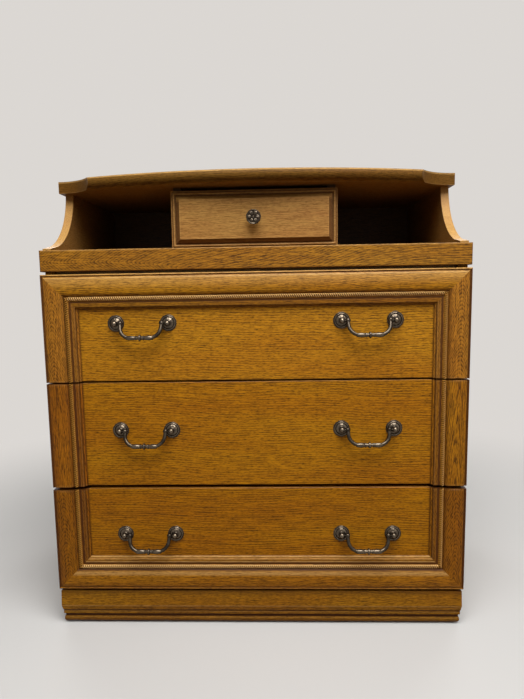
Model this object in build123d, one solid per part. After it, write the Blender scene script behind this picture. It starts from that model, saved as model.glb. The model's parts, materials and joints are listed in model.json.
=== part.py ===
from build123d import *
import os
from math import cos, isclose, radians, sin

# Oak chest of three wide drawers with a low gallery on top, in millimetres.
# It stands on the XY plane with its back towards +Y, and the origin lies under the middle of its box.
# A depth is measured backwards from the crest of the drawer frames.

# Overall sizes
width = 800.0
case_depth = 415.0
counter_set_back = 5.0
counter_thickness = 40.0
arris = 1.5

# Heights of the front, from the floor up
glide_height = 1.5
plinth_height = 69.0
gap_over_plinth = 4.5
front_height = 204.5
gap_under_middle = 6.0
gap_under_top = 3.0
gap_under_counter = 5.4

# Carcass boards
side_inset = 3.0
board = 18.0
back_thickness = 5.0
back_inset = 1.0
stretcher_width = 80.0
front_running_gap = 1.5

# Plinth moulding
plinth_set_back = 2.5
plinth_overhang = 0.5
plinth_ledge = 1.5
plinth_shoulder = 0.8
plinth_arris_height = 38.0
plinth_waist = 1.8
plinth_quirk = 3.0
plinth_quirk_height = 26.3
plinth_bead = 2.6
plinth_bead_height = 6.3
plinth_groove = 5.4
plinth_groove_height = 6.3
plinth_base = 4.4
plinth_base_swell = 0.6
plinth_toe = 11.0
block_size = 42.0
glide_radius = 11.0

# Drawer frame moulding, from its outer edge inwards; drops run back from its crest
frame_thickness = 20.0
outer_bead = 3.2
outer_bead_height = 1.4
outer_quirk = 1.2
outer_drop = 3.4
edge_start_drop = 2.8
edge_run = 3.6
band_shoulder = 1.3
band_width = 27.0
slope_run = 6.5
rope_gap = 0.5
rope_width = 7.5
rope_height = 3.8
rope_seat_drop = 6.0
rope_groove = 5.0
flat_width = 7.0
flat_drop = 5.5
flat_round = 0.4
quirk_width = 1.0
ovolo = 3.5
panel_drop = 13.0
panel_thickness = 16.0
panel_lap = 8.0
end_ease = 1.2

# Drawer boxes of the wide drawers
box_lift = 20.0
box_headroom = 36.0
box_back_room = 26.0
box_board = 15.0
box_side_gap = 2.0
bottom_thickness = 5.0
bottom_lift = 10.0
bottom_groove = 6.0
groove_clearance = 0.2

# Wooden runners that the drawer sides ride on
runner_height = 16.0
runner_front = 48.0
runner_back_room = 17.0
runner_groove = 8.0
runner_clearance = 0.3
runner_end_clearance = 1.0
runner_screw_inset = 40.0

# Bail handles
handle_from_side = 186.8
handle_rise = 9.0
post_spacing = 100.0
rosette_radius = 16.0
rosette_rim = 1.6
rosette_bead = 2.0
dome_height = 5.0
dome_swell = 0.5
neck_radius = 4.0
pivot_height = 11.0
post_ball = 5.5
eye_ball = 5.0
ball_gap = 0.3
pin_radius = 1.5
pin_clearance = 0.05
pin_engagement = 2.0
bail_reach = 29.0
bail_lean = 24.5
bail_rod = 3.5
arm_splay = 2.5
arm_bend = 21.0
grip_bulge = 4.7
grip_bulge_at = 16.5
grip_bulge_half = 8.0
grip_collar = 4.5
grip_collar_at = 7.5
grip_collar_width = 2.0
grip_disc = 6.0
grip_disc_width = 4.0
grip_disc_round = 1.6

# Screws
screw_radius = 2.0
screw_clearance = 0.05
screw_head_radius = 4.0
screw_head_height = 2.5
screw_bite = 6.0
runner_screw_radius = 1.75
runner_screw_head = 3.5
runner_screw_bite = 11.0

# Gallery
gallery_height = 122.0
gallery_board = 16.0
gallery_side_inset = 7.0
toe_set_back = 7.0
toe_height = 3.0
toe_run = 40.0
toe_rise = 9.0
scoop_waist_depth = 100.5
scoop_waist_height = 48.0
scoop_top_depth = 132.0
gallery_back_thickness = 6.0
gallery_inset = 5.0

# Top shelf
shelf_thickness = 23.0
shelf_end_depth = 115.0
horn_from_end = 76.0
horn_depth = 71.0
bow_depth = 27.5
nose_shoulder = 4.5
nose_trim = 0.3
nose_fullest_height = 14.0
nose_foot = 3.6
nose_quirk = 1.4
under_height = 5.0
under_run = 8.0

# Gallery drawer
gallery_front_width = 326.0
gallery_front_depth = 67.0
gallery_front_thickness = 20.0
gallery_front_gap = 3.5
gallery_front_headroom = 7.5
front_overlap = 3.0
border_fillet = 3.0
border_bead = 5.0
border_groove = 2.5
border_drop = 9.0
bead_round = 2.2
field_slope_run = 7.0
field_slope_drop = 6.0
field_step = 1.0
gallery_box_gap = 0.8
gallery_box_board = 10.0
gallery_box_headroom = 22.0
gallery_box_room = 47.0
gallery_bottom = 4.0
gallery_bottom_lift = 4.0
gallery_runner_width = 14.0
gallery_runner_gap = 0.3
gallery_runner_front = 8.0

# Flower knob
knob_radius = 14.5
knob_reach = 25.0
knob_neck = 6.0
knob_foot = 9.0
knob_foot_height = 3.0
knob_head = 9.0
knob_rim_height = 5.8
knob_round = 1.8
petals = 6
petal_ring = 8.4
petal_radius = 4.8
petal_height = 7.4
petal_round = 1.4
knob_boss = 3.5

# Places worked out from the sizes above
bail_forward = bail_reach * sin(radians(bail_lean))
bail_proud = grip_disc + bail_forward + pivot_height - panel_drop
front_y = (bail_proud - case_depth) / 2
half = width / 2
edge_start = outer_bead + outer_quirk
band_start = edge_start + edge_run
band_end = band_start + band_width
seat_start = band_end + slope_run
rope_start = seat_start + rope_gap
flat_start = rope_start + rope_width + rope_groove
flat_end = flat_start + flat_width
frame_width = flat_end + quirk_width + ovolo
side_outer = half - side_inset
side_inner = side_outer - board
plinth_thickness = plinth_overhang + board + plinth_ledge
carcass_front = frame_thickness + front_running_gap
carcass_back = case_depth - back_thickness
plinth_top = glide_height + plinth_height
bottom_front_z = plinth_top + gap_over_plinth
middle_front_z = bottom_front_z + front_height + gap_under_middle
top_front_z = middle_front_z + front_height + gap_under_top
counter_z = top_front_z + front_height + gap_under_counter
counter_top = counter_z + counter_thickness
shelf_z = counter_top + gallery_height
gallery_front_height = gallery_height - gallery_front_gap - gallery_front_headroom
drawer_z = {"bottom": bottom_front_z, "middle": middle_front_z, "top": top_front_z}
box_outer = side_inner - box_side_gap
box_inner = box_outer - box_board
panel_half = half - frame_width + panel_lap
box_depth = panel_drop + panel_thickness
box_back_depth = carcass_back - box_back_room
box_height = front_height - box_lift - box_headroom
runner_back = carcass_back - runner_back_room
handle_x = half - handle_from_side
handle_height = front_height / 2 + handle_rise
eye_x = post_spacing / 2 - post_ball - eye_ball - ball_gap
pivot_depth = panel_drop - pivot_height

LEFT, RIGHT = Vector(-1, 0, 0), Vector(1, 0, 0)
BACK, UP, DOWN = Vector(0, 1, 0), Vector(0, 0, 1), Vector(0, 0, -1)
SITTING = (Align.CENTER, Align.CENTER, Align.MIN)


# Shared helpers

def y_at(depth):
    """Y of a depth behind the crest of the drawer frames."""
    return front_y + depth


def plank(x0, x1, d0, d1, z0, z1):
    """Rectangular board between two corners, given by X, depth and height."""
    centre = Pos((x0 + x1) / 2, y_at((d0 + d1) / 2), (z0 + z1) / 2)
    return centre * Box(x1 - x0, d1 - d0, z1 - z0)


def rod(start, direction, radius, length):
    """Round bar that begins at a point and runs along a direction."""
    return Plane(origin=start, z_dir=direction) * Cylinder(radius, length, align=SITTING)


def pair(solid):
    """A solid and its mirror image on the other side of the chest."""
    return [solid, mirror(solid, about=Plane.YZ)]


def mitre_waste(corner, along, across, normal):
    """Wedge that a bar along one direction loses where it meets a bar along the other."""
    reach = 2 * frame_width
    outline = Polyline(corner, corner + across * reach, corner + (along + across) * reach, close=True)
    return extrude(make_face(outline), amount=2 * reach, dir=normal, both=True)


def eased(solid, depth, z, into):
    """A solid with the level front edge at a depth and height taken off at 45 degrees."""
    corner = Vector(-half, y_at(depth), z)
    outline = Polyline(corner - BACK * end_ease - into * end_ease, corner + BACK * end_ease - into * end_ease,
                       corner + BACK * end_ease, corner + into * end_ease,
                       corner - BACK * end_ease + into * end_ease, close=True)
    return solid - extrude(make_face(outline), amount=width, dir=RIGHT)


def screw(start, direction, radius, length, head_radius, head_height):
    """Screw whose head sits behind the start point and whose shank runs along the direction."""
    head = rod(start - direction * head_height, direction, head_radius, head_height)
    return head + rod(start, direction, radius, length)


def save(name, *solids):
    """Write one node."""
    export_step(Compound(list(solids)), f"parts/{name}.step")


# Frame moulding of the wide drawers

def frame_section():
    """Section of the frame: across from the outer edge, back from the crest."""
    ovolo_start = frame_width - ovolo
    ovolo_middle = (ovolo_start + ovolo * sin(radians(45)), panel_drop - ovolo * cos(radians(45)))
    rebate = frame_width - panel_lap
    bead_crown = (outer_bead / 2, outer_drop - outer_bead_height)
    edges = Polyline(
        (0, outer_drop), (0, frame_thickness), (rebate, frame_thickness), (rebate, panel_drop),
        (frame_width, panel_drop),
    ).edges()
    edges += Polyline(
        (outer_bead, outer_drop), (edge_start, outer_drop), (edge_start, edge_start_drop),
    ).edges()
    edges += [
        ThreePointArc((0, outer_drop), bead_crown, (outer_bead, outer_drop)),
        ThreePointArc((frame_width, panel_drop), ovolo_middle, (ovolo_start, panel_drop - ovolo)),
    ]
    edges += Polyline(
        (ovolo_start, panel_drop - ovolo), (flat_end, panel_drop - ovolo), (flat_end, flat_drop),
        (flat_start, flat_drop), (flat_start, rope_seat_drop), (seat_start, rope_seat_drop),
    ).edges()
    crest = (band_start + band_width / 2, 0)
    band = ThreePointArc((band_start, band_shoulder), crest, (band_end, band_shoulder))
    edge = TangentArc(band @ 0, (edge_start, edge_start_drop), tangent=-(band % 0))
    shoulder = TangentArc(band @ 1, (seat_start, rope_seat_drop), tangent=band % 1)
    section = make_face(edges + [band, edge, shoulder])
    flat_corners = [v for v in section.vertices() if isclose(v.Y, flat_drop)]
    return fillet(flat_corners, flat_round)


def rope_section():
    """Section of the rope bead, which sits on the flat seat of the frame."""
    start, end = (rope_start, rope_seat_drop), (rope_start + rope_width, rope_seat_drop)
    crown = (rope_start + rope_width / 2, rope_seat_drop - rope_height)
    return make_face([ThreePointArc(start, crown, end), Line(end, start)])


def moulding(section, corner, inward, length):
    """Bar of a section whose outer edge starts at a corner; it runs along inward x back."""
    run = inward.cross(BACK)
    return extrude(Plane(origin=corner, x_dir=inward, z_dir=run) * section, amount=length, dir=run)


def stile(section, z, rail_at):
    """Left upright of a drawer frame, mitred at the end where a rail meets it."""
    foot = Vector(-half, y_at(0), z)
    bar = moulding(section, foot, RIGHT, front_height)
    head = foot + UP * front_height
    bar = bar - mitre_waste(head, DOWN, RIGHT, BACK) if rail_at == "top" else eased(bar, 0, head.Z, DOWN)
    bar = bar - mitre_waste(foot, UP, RIGHT, BACK) if rail_at == "bottom" else eased(bar, 0, foot.Z, UP)
    return bar


def rail(section, z, rail_at):
    """Level bar of a drawer frame, mitred at both ends."""
    inward = DOWN if rail_at == "top" else UP
    level = z + front_height if rail_at == "top" else z
    ends = [Vector(-half, y_at(0), level), Vector(half, y_at(0), level)]
    start = ends[0] if rail_at == "top" else ends[1]
    bar = moulding(section, start, inward, width)
    for end, along in zip(ends, (RIGHT, LEFT)):
        bar -= mitre_waste(end, along, inward, BACK)
    return bar


def handle_places(z):
    """Points on the face of a front panel where the posts of its two handles stand."""
    return [
        Vector(side * handle_x + end * post_spacing / 2, y_at(panel_drop), z + handle_height)
        for side in (-1, 1) for end in (-1, 1)
    ]


def front_panel(z, rail_at):
    """Flat panel of a drawer front, lapped behind the frame and drilled for the handles."""
    low = z + frame_width - panel_lap if rail_at == "bottom" else z
    high = z + front_height - frame_width + panel_lap if rail_at == "top" else z + front_height
    panel = plank(-panel_half, panel_half, panel_drop, box_depth, low, high)
    if rail_at != "top":
        panel = eased(panel, panel_drop, high, DOWN)
    if rail_at != "bottom":
        panel = eased(panel, panel_drop, low, UP)
    for place in handle_places(z):
        panel -= rod(place, BACK, screw_radius + screw_clearance, panel_thickness)
    return panel


# Drawer boxes of the wide drawers

def box_bottom_board(z, room=0.0):
    """Thin bottom that slides into the grooves of the four box boards, with any room above it."""
    low = z + box_lift + bottom_lift
    reach = box_inner + bottom_groove
    front, back = box_depth + box_board - bottom_groove, box_back_depth - box_board + bottom_groove
    return plank(-reach, reach, front, back, low, low + bottom_thickness + room)


def runner_z(z):
    """Underside of a drawer's runners."""
    return z + box_lift + (box_height - runner_height) / 2


def box_side(z):
    """Left side of a drawer box, grooved outside for the runner and inside for the bottom."""
    low = z + box_lift
    side = plank(-box_outer, -box_inner, box_depth, box_back_depth, low, low + box_height)
    groove_low = runner_z(z) - runner_clearance
    groove_high = runner_z(z) + runner_height + runner_clearance
    side -= plank(-box_outer, runner_groove - box_outer, runner_front - runner_clearance, box_back_depth,
                  groove_low, groove_high)
    return side - box_bottom_board(z, groove_clearance)


def box_end(z, front):
    """Front or back board of a drawer box, between its sides."""
    low = z + box_lift
    start = box_depth if front else box_back_depth - box_board
    end = plank(-box_inner, box_inner, start, start + box_board, low, low + box_height)
    end -= box_bottom_board(z, groove_clearance)
    if front:
        for place in handle_places(z):
            hole_start = place + BACK * panel_thickness
            end -= rod(hole_start, BACK, screw_radius + screw_clearance, box_board)
    return end


# Bail handles

def post(place, inward):
    """Rosette, ball and pin of one handle post; the pin points towards the handle's middle."""
    rim = rosette_radius - rosette_bead
    dome_middle = ((rim + neck_radius) / 2, (rosette_rim + dome_height) / 2 + dome_swell)
    outline = Polyline((neck_radius, dome_height), (neck_radius, pivot_height), (0, pivot_height), (0, 0),
                       (rosette_radius, 0), (rosette_radius, rosette_rim)).edges()
    outline += [
        TangentArc((rosette_radius, rosette_rim), (rim, rosette_rim), tangent=(0, 1)),
        ThreePointArc((rim, rosette_rim), dome_middle, (neck_radius, dome_height)),
    ]
    upright = revolve(make_face(outline), axis=Axis.Y)
    ball = Pos(0, pivot_height, 0) * Sphere(post_ball)
    pin_length = post_spacing / 2 - eye_x + pin_engagement
    pin = rod(Vector(0, pivot_height, 0), inward, pin_radius, pin_length)
    bore = rod(Vector(0, 0, 0), BACK, screw_radius + screw_clearance, screw_bite + screw_clearance)
    turned = upright + ball - bore + pin
    return Pos(*place) * Rot(X=180) * turned


def bail_path():
    """Centre line of the bail, hanging straight down from its pivot axis."""
    corner = eye_x - arm_splay
    return FilletPolyline(
        (-eye_x, 0, 0), (-corner, 0, -bail_reach), (corner, 0, -bail_reach), (eye_x, 0, 0), radius=arm_bend,
    )


def grip_turning():
    """Turned swellings, collars and middle disc of the grip, about the X axis."""
    disc = Cylinder(grip_disc, grip_disc_width)
    pieces = Rot(Y=90) * fillet(disc.edges().filter_by(GeomType.CIRCLE), grip_disc_round)
    for side in (-1, 1):
        start, end = side * grip_bulge_at - grip_bulge_half, side * grip_bulge_at + grip_bulge_half
        swell = make_face([
            ThreePointArc((start, bail_rod), (side * grip_bulge_at, grip_bulge), (end, bail_rod)),
            Polyline((end, bail_rod), (end, 0), (start, 0), (start, bail_rod)),
        ])
        pieces += revolve(swell, axis=Axis.X)
        pieces += Pos(side * grip_collar_at, 0, 0) * Rot(Y=90) * Cylinder(grip_collar, grip_collar_width)
    return pieces


def bail(x, z):
    """One swinging bail with its two eyes, leaning forward on its stop."""
    path = bail_path()
    solid = sweep(Plane(origin=path @ 0, z_dir=path % 0) * Circle(bail_rod), path=path)
    solid += Pos(0, 0, -bail_reach) * grip_turning()
    bore_depth = pin_engagement + pin_clearance
    for side in (-1, 1):
        solid += Pos(side * eye_x, 0, 0) * Sphere(eye_ball)
    for side, outward in ((-1, LEFT), (1, RIGHT)):
        start = Vector(side * (eye_x - bore_depth), 0, 0)
        solid -= rod(start, outward, pin_radius + pin_clearance, eye_ball + 2 * bore_depth)
    return Pos(x, y_at(pivot_depth), z + handle_height) * Rot(X=-bail_lean) * solid


# Nodes of one wide drawer

def make_drawer(name, rail_at):
    z = drawer_z[name]
    save(f"{name}_front_panel", front_panel(z, rail_at))
    save(f"{name}_frame_stiles", *pair(stile(frame_section(), z, rail_at)))
    ropes = pair(stile(rope_section(), z, rail_at))
    if rail_at:
        save(f"{name}_frame_rail", rail(frame_section(), z, rail_at))
        ropes.append(rail(rope_section(), z, rail_at))
    save(f"{name}_rope_beads", *ropes)
    save(f"{name}_box_sides", *pair(box_side(z)))
    save(f"{name}_box_front", box_end(z, True))
    save(f"{name}_box_back", box_end(z, False))
    save(f"{name}_box_bottom", box_bottom_board(z))
    places = handle_places(z)
    inwards = [RIGHT, LEFT, RIGHT, LEFT]
    save(f"{name}_handle_posts", *[post(place, inward) for place, inward in zip(places, inwards)])
    behind = BACK * (panel_thickness + box_board)
    shank = panel_thickness + box_board + screw_bite
    save(f"{name}_handle_screws", *[
        screw(place + behind, -BACK, screw_radius, shank, screw_head_radius, screw_head_height)
        for place in places
    ])
    for side, x in (("left", -handle_x), ("right", handle_x)):
        save(f"{name}_{side}_bail", bail(x, z))


# Carcass

def runner(z):
    """Left runner of a drawer, with its two screws, fixed to the side panel."""
    reach = box_side_gap + runner_groove - runner_end_clearance
    low = runner_z(z)
    inner = -side_inner + reach
    bar = plank(-side_inner, inner, runner_front, runner_back, low, low + runner_height)
    screws = []
    holes = []
    for depth in (runner_front + runner_screw_inset, runner_back - runner_screw_inset):
        start = Vector(inner - screw_head_height, y_at(depth), low + runner_height / 2)
        length = reach - screw_head_height + runner_screw_bite
        screws.append(screw(start, LEFT, runner_screw_radius, length, runner_screw_head, screw_head_height))
        holes.append(screw(start, LEFT, runner_screw_radius + screw_clearance, length + screw_clearance,
                           runner_screw_head + screw_clearance, screw_head_height))
    for hole in holes:
        bar -= hole
    return bar, screws, holes


def plinth_section():
    """Section of the plinth: inwards from its fullest line, up from its foot."""
    groove_top = plinth_quirk_height - plinth_bead_height
    groove_foot = groove_top - plinth_groove_height
    waist = (plinth_waist, plinth_quirk_height + plinth_quirk)
    toe, base, shoulder = (plinth_toe, 0), (plinth_base, groove_foot), (plinth_shoulder, plinth_height)
    edges = Polyline(shoulder, (plinth_thickness, plinth_height), (plinth_thickness, 0), toe).edges()
    edges += [ThreePointArc(toe, (plinth_base - plinth_base_swell, groove_foot / 2), base)]
    edges += Polyline(
        base, (plinth_groove, groove_foot), (plinth_groove, groove_top), (plinth_bead, groove_top),
        (plinth_bead, plinth_quirk_height), (plinth_quirk, plinth_quirk_height), waist,
        (0, plinth_arris_height), shoulder,
    ).edges()
    return make_face(edges)


def make_plinth():
    reach = side_outer + plinth_overhang
    run = carcass_back - plinth_set_back
    corners = [Vector(side * reach, y_at(plinth_set_back), glide_height) for side in (-1, 1)]
    front_plane = Plane(origin=corners[0], x_dir=BACK, z_dir=RIGHT)
    front = extrude(front_plane * plinth_section(), amount=2 * reach, dir=RIGHT)
    for corner, along in zip(corners, (RIGHT, LEFT)):
        front -= mitre_waste(corner, along, BACK, UP)
    side_plane = Plane(origin=corners[0] + BACK * run, x_dir=RIGHT, z_dir=-BACK)
    side = extrude(side_plane * plinth_section(), amount=run, dir=-BACK)
    side -= mitre_waste(corners[0], BACK, RIGHT, UP)
    inside = reach - plinth_thickness
    save("plinth_front", front)
    save("plinth_sides", *pair(side))
    save("plinth_back", plank(-inside, inside, carcass_back - board, carcass_back, glide_height, plinth_top))
    block_front = plinth_set_back + plinth_thickness
    block_back = carcass_back - board
    blocks = []
    glides = []
    for start in (block_front, block_back - block_size):
        end = start + block_size
        blocks += pair(plank(-inside, block_size - inside, start, end, glide_height, plinth_top))
        centre = Vector(block_size / 2 - inside, y_at(start + block_size / 2), 0)
        glides += pair(rod(centre, UP, glide_radius, glide_height))
    save("plinth_blocks", *blocks)
    save("foot_glides", *glides)


def make_carcass():
    side = plank(-side_outer, -side_inner, carcass_front, carcass_back, plinth_top, counter_z)
    runners = []
    screws = []
    for z in drawer_z.values():
        bar, bar_screws, holes = runner(z)
        runners += pair(bar)
        for fixing in bar_screws:
            screws += pair(fixing)
        for hole in holes:
            side -= hole
    save("side_panel_left", side)
    save("side_panel_right", mirror(side, about=Plane.YZ))
    save("drawer_runners", *runners)
    save("runner_screws", *screws)
    floor_top = plinth_top + board
    save("bottom_panel", plank(-side_inner, side_inner, carcass_front, carcass_back, plinth_top, floor_top))
    edge = side_outer - back_inset
    save("back_panel", plank(-edge, edge, carcass_back, case_depth, plinth_top + back_inset, counter_z))
    front = box_depth + front_running_gap
    save("top_stretchers", *[
        plank(-side_inner, side_inner, start, start + stretcher_width, counter_z - board, counter_z)
        for start in (front, carcass_back - stretcher_width)
    ])
    counter = plank(-half, half, counter_set_back, case_depth, counter_z, counter_top)
    front_edges = counter.faces().sort_by(Axis.Y)[0].edges()
    save("counter_board", fillet(front_edges, arris))


# Gallery

def make_gallery():
    outer = half - gallery_side_inset
    inner = outer - gallery_board
    back = case_depth - gallery_inset
    outline = Polyline(
        (scoop_top_depth, gallery_height), (back, gallery_height), (back, 0), (toe_set_back, 0),
        (toe_set_back, toe_height), (toe_run, toe_rise),
    ).edges()
    outline += [
        ThreePointArc((toe_run, toe_rise), (scoop_waist_depth, scoop_waist_height),
                      (scoop_top_depth, gallery_height)),
    ]
    upright = Plane(origin=(-outer, y_at(0), counter_top), x_dir=BACK, z_dir=RIGHT)
    side = extrude(upright * make_face(outline), amount=gallery_board, dir=RIGHT)
    save("gallery_side_left", side)
    save("gallery_side_right", mirror(side, about=Plane.YZ))
    back_front = back - gallery_back_thickness
    save("gallery_back", plank(-inner, inner, back_front, back, counter_top, shelf_z))
    partition_outer = gallery_front_width / 2 - front_overlap
    start = gallery_front_depth + gallery_front_thickness + front_running_gap
    partition_inner = partition_outer - gallery_board
    partition = plank(-partition_outer, -partition_inner, start, back_front, counter_top, shelf_z)
    save("gallery_partitions", *pair(partition))
    save("top_shelf", top_shelf())


def top_shelf():
    """Shelf with plain square ends, scooped horns and a moulded bow between them."""
    horn = half - horn_from_end
    horns = [(-horn, y_at(horn_depth)), (horn, y_at(horn_depth))]
    bow = ThreePointArc(horns[0], (0, y_at(bow_depth)), horns[1])
    edges = [bow]
    for side, tip in zip((-1, 1), horns):
        end = (side * half, y_at(shelf_end_depth))
        edges.append(TangentArc(end, tip, tangent=(-side, 0)))
    edges += Polyline((-half, y_at(shelf_end_depth)), (-half, y_at(case_depth)),
                      (half, y_at(case_depth)), (half, y_at(shelf_end_depth))).edges()
    slab = extrude(Pos(0, 0, shelf_z) * make_face(edges), amount=shelf_thickness, dir=UP)
    return slab - nose_waste(bow.arc_center)


def nose_waste(centre):
    """What the moulding takes off round the bow; it runs out into the scoops beside the horns."""
    top = shelf_thickness
    lip = nose_foot + nose_quirk
    under = lip + under_run
    outside, over = -2 * nose_shoulder, top + nose_shoulder
    nose = (nose_trim, nose_fullest_height)
    edges = [ThreePointArc((nose_shoulder, top), nose, (nose_foot, under_height))]
    edges += [Line((nose_foot, under_height), (lip, under_height))]
    swell = (under - under_run * cos(radians(45)), under_height * (1 - sin(radians(45))))
    edges += [ThreePointArc((lip, under_height), swell, (under, 0))]
    edges += Polyline((under, 0), (under, -nose_shoulder), (outside, -nose_shoulder), (outside, over),
                      (nose_shoulder, over), (nose_shoulder, top)).edges()
    section = Plane(origin=(0, y_at(bow_depth), shelf_z), x_dir=BACK, z_dir=RIGHT) * make_face(edges)
    return revolve(section, axis=Axis((centre.X, centre.Y, 0), (0, 0, 1)))


# Gallery drawer

def gallery_front():
    """Moulded front: an outer fillet, a bead, a groove and a sloped, raised field."""
    low = counter_top + gallery_front_gap
    high = low + gallery_front_height
    middle = (low + high) / 2
    face = gallery_front_depth + border_drop
    back = gallery_front_depth + gallery_front_thickness
    front = plank(-gallery_front_width / 2, gallery_front_width / 2, face, back, low, high)

    def rectangle(inset, depth):
        upright = Plane(origin=(0, y_at(depth), middle), x_dir=RIGHT, z_dir=-BACK)
        return upright * Rectangle(gallery_front_width - 2 * inset, gallery_front_height - 2 * inset)

    inner_edge = border_fillet + border_bead
    bead_height = border_bead / 2
    bead = extrude(rectangle(border_fillet, face), amount=bead_height, dir=-BACK)
    bead -= extrude(rectangle(inner_edge, face), amount=bead_height, dir=-BACK)
    crown = bead.faces().sort_by(Axis.Y)[0].edges()
    front += fillet(crown, bead_round)
    field_edge = inner_edge + border_groove
    slope_foot = gallery_front_depth + field_slope_drop
    front += extrude(rectangle(field_edge, face), amount=face - slope_foot, dir=-BACK)
    field = rectangle(field_edge + field_slope_run, gallery_front_depth + field_step)
    front += loft([rectangle(field_edge, slope_foot), field])
    front += extrude(field, amount=field_step, dir=-BACK)
    hole = Vector(0, y_at(gallery_front_depth), middle)
    return front - rod(hole, BACK, screw_radius + screw_clearance, gallery_front_thickness), hole


def knob(place):
    """Turned foot and neck under a round head with petals and a domed boss on its face."""
    head_start = knob_reach - knob_head
    solid = Cylinder(knob_foot, knob_foot_height, align=SITTING)
    solid += Cylinder(knob_neck, head_start, align=SITTING)
    head = Cylinder(knob_radius, knob_rim_height, align=SITTING)
    solid += Pos(0, 0, head_start) * fillet(head.edges().filter_by(GeomType.CIRCLE), knob_round)
    petal = Cylinder(petal_radius, petal_height, align=SITTING)
    petal = fillet(petal.edges().filter_by(GeomType.CIRCLE), petal_round)
    for turn in range(petals):
        solid += Rot(Z=turn * 360 / petals) * Pos(petal_ring, 0, head_start) * petal
    solid += Pos(0, 0, knob_reach - knob_boss) * Sphere(knob_boss)
    solid -= Cylinder(screw_radius + screw_clearance, screw_bite + screw_clearance, align=SITTING)
    return Plane(origin=place, z_dir=-BACK) * solid


def make_gallery_drawer():
    front, hole = gallery_front()
    save("gallery_drawer_front", front)
    save("gallery_knob", knob(hole))
    behind = hole + BACK * gallery_front_thickness
    save("gallery_knob_screw", screw(behind, -BACK, screw_radius, gallery_front_thickness + screw_bite,
                                     screw_head_radius, screw_head_height))
    opening = gallery_front_width / 2 - front_overlap - gallery_board
    outer = opening - gallery_box_gap
    inner = outer - gallery_box_board
    runner_top = counter_top + gallery_front_gap
    low = runner_top + gallery_runner_gap
    start = gallery_front_depth + gallery_front_thickness
    end = case_depth - gallery_inset - gallery_back_thickness - gallery_box_room
    high = shelf_z - gallery_box_headroom
    groove = gallery_box_board / 2
    floor = low + gallery_bottom_lift
    bottom = plank(-inner - groove, inner + groove, start, end - groove, floor, floor + gallery_bottom)
    side = plank(-outer, -inner, start, end, low, high) - bottom
    back = plank(-inner, inner, end - gallery_box_board, end, low, high) - bottom
    save("gallery_box_sides", *pair(side))
    save("gallery_box_back", back)
    save("gallery_box_bottom", bottom)
    runner_start = start + gallery_runner_front
    strip = plank(-opening, gallery_runner_width - opening, runner_start, end, counter_top, runner_top)
    save("gallery_drawer_runners", *pair(strip))


os.makedirs("parts", exist_ok=True)
make_plinth()
make_carcass()
make_gallery()
make_gallery_drawer()
make_drawer("top", "top")
make_drawer("middle", None)
make_drawer("bottom", "bottom")
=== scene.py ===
"""Finishes and carved pieces of an oak chest of drawers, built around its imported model."""

import json
import math

import bmesh
import bpy
from bpy.props import FloatProperty, FloatVectorProperty, IntProperty, PointerProperty
from mathutils import Matrix, Vector

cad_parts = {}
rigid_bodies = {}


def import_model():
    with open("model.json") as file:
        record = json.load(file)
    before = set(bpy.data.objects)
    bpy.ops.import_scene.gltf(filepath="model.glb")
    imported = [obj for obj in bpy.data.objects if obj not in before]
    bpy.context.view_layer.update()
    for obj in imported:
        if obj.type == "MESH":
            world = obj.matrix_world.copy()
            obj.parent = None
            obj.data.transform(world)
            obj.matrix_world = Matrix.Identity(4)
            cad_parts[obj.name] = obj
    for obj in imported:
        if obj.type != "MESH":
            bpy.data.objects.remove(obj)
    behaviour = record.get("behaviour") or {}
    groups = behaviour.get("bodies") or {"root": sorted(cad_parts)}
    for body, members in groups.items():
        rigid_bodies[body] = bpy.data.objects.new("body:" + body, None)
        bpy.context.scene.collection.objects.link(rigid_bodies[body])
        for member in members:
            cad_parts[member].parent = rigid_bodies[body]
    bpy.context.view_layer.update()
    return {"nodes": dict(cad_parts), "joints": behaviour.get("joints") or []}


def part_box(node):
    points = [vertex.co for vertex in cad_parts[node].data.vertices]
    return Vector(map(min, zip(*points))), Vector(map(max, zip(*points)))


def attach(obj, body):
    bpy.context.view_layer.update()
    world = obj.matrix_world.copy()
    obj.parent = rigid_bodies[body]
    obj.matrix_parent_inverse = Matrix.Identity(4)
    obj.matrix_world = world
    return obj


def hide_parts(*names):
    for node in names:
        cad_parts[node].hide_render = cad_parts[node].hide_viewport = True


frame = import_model()

bl_info = {
    "name": "Oak chest of drawers",
    "version": (1, 0, 0),
    "blender": (4, 5, 0),
    "location": "3D View > Sidebar > Chest",
    "description": "Dresses the packed chest with oak, bronze, carved ropes and a flower knob",
    "category": "Object",
}

MM = 0.001
QUARTER_TURN = math.radians(90)
DRAWERS = ("top", "middle", "bottom")
RAIL_SIDE = {"top": 1, "middle": 0, "bottom": -1}  # a frame's rail: above the panel, none or below


# Sizes and colours that a user may change

def colour_setting(name, description, default):
    return FloatVectorProperty(
        name=name, description=description, subtype="COLOR", default=default, min=0, max=1)


def length_setting(name, description, default, least, most):
    """A length, given in millimetres."""
    return FloatProperty(
        name=name, description=description, unit="LENGTH",
        default=default * MM, min=least * MM, max=most * MM)


def power_setting(name, description, default):
    return FloatProperty(
        name=name, description=description, unit="POWER", default=default, min=0, max=2000)


def angle_setting(name, description, degrees):
    return FloatProperty(
        name=name, description=description, subtype="ANGLE", default=math.radians(degrees))


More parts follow.
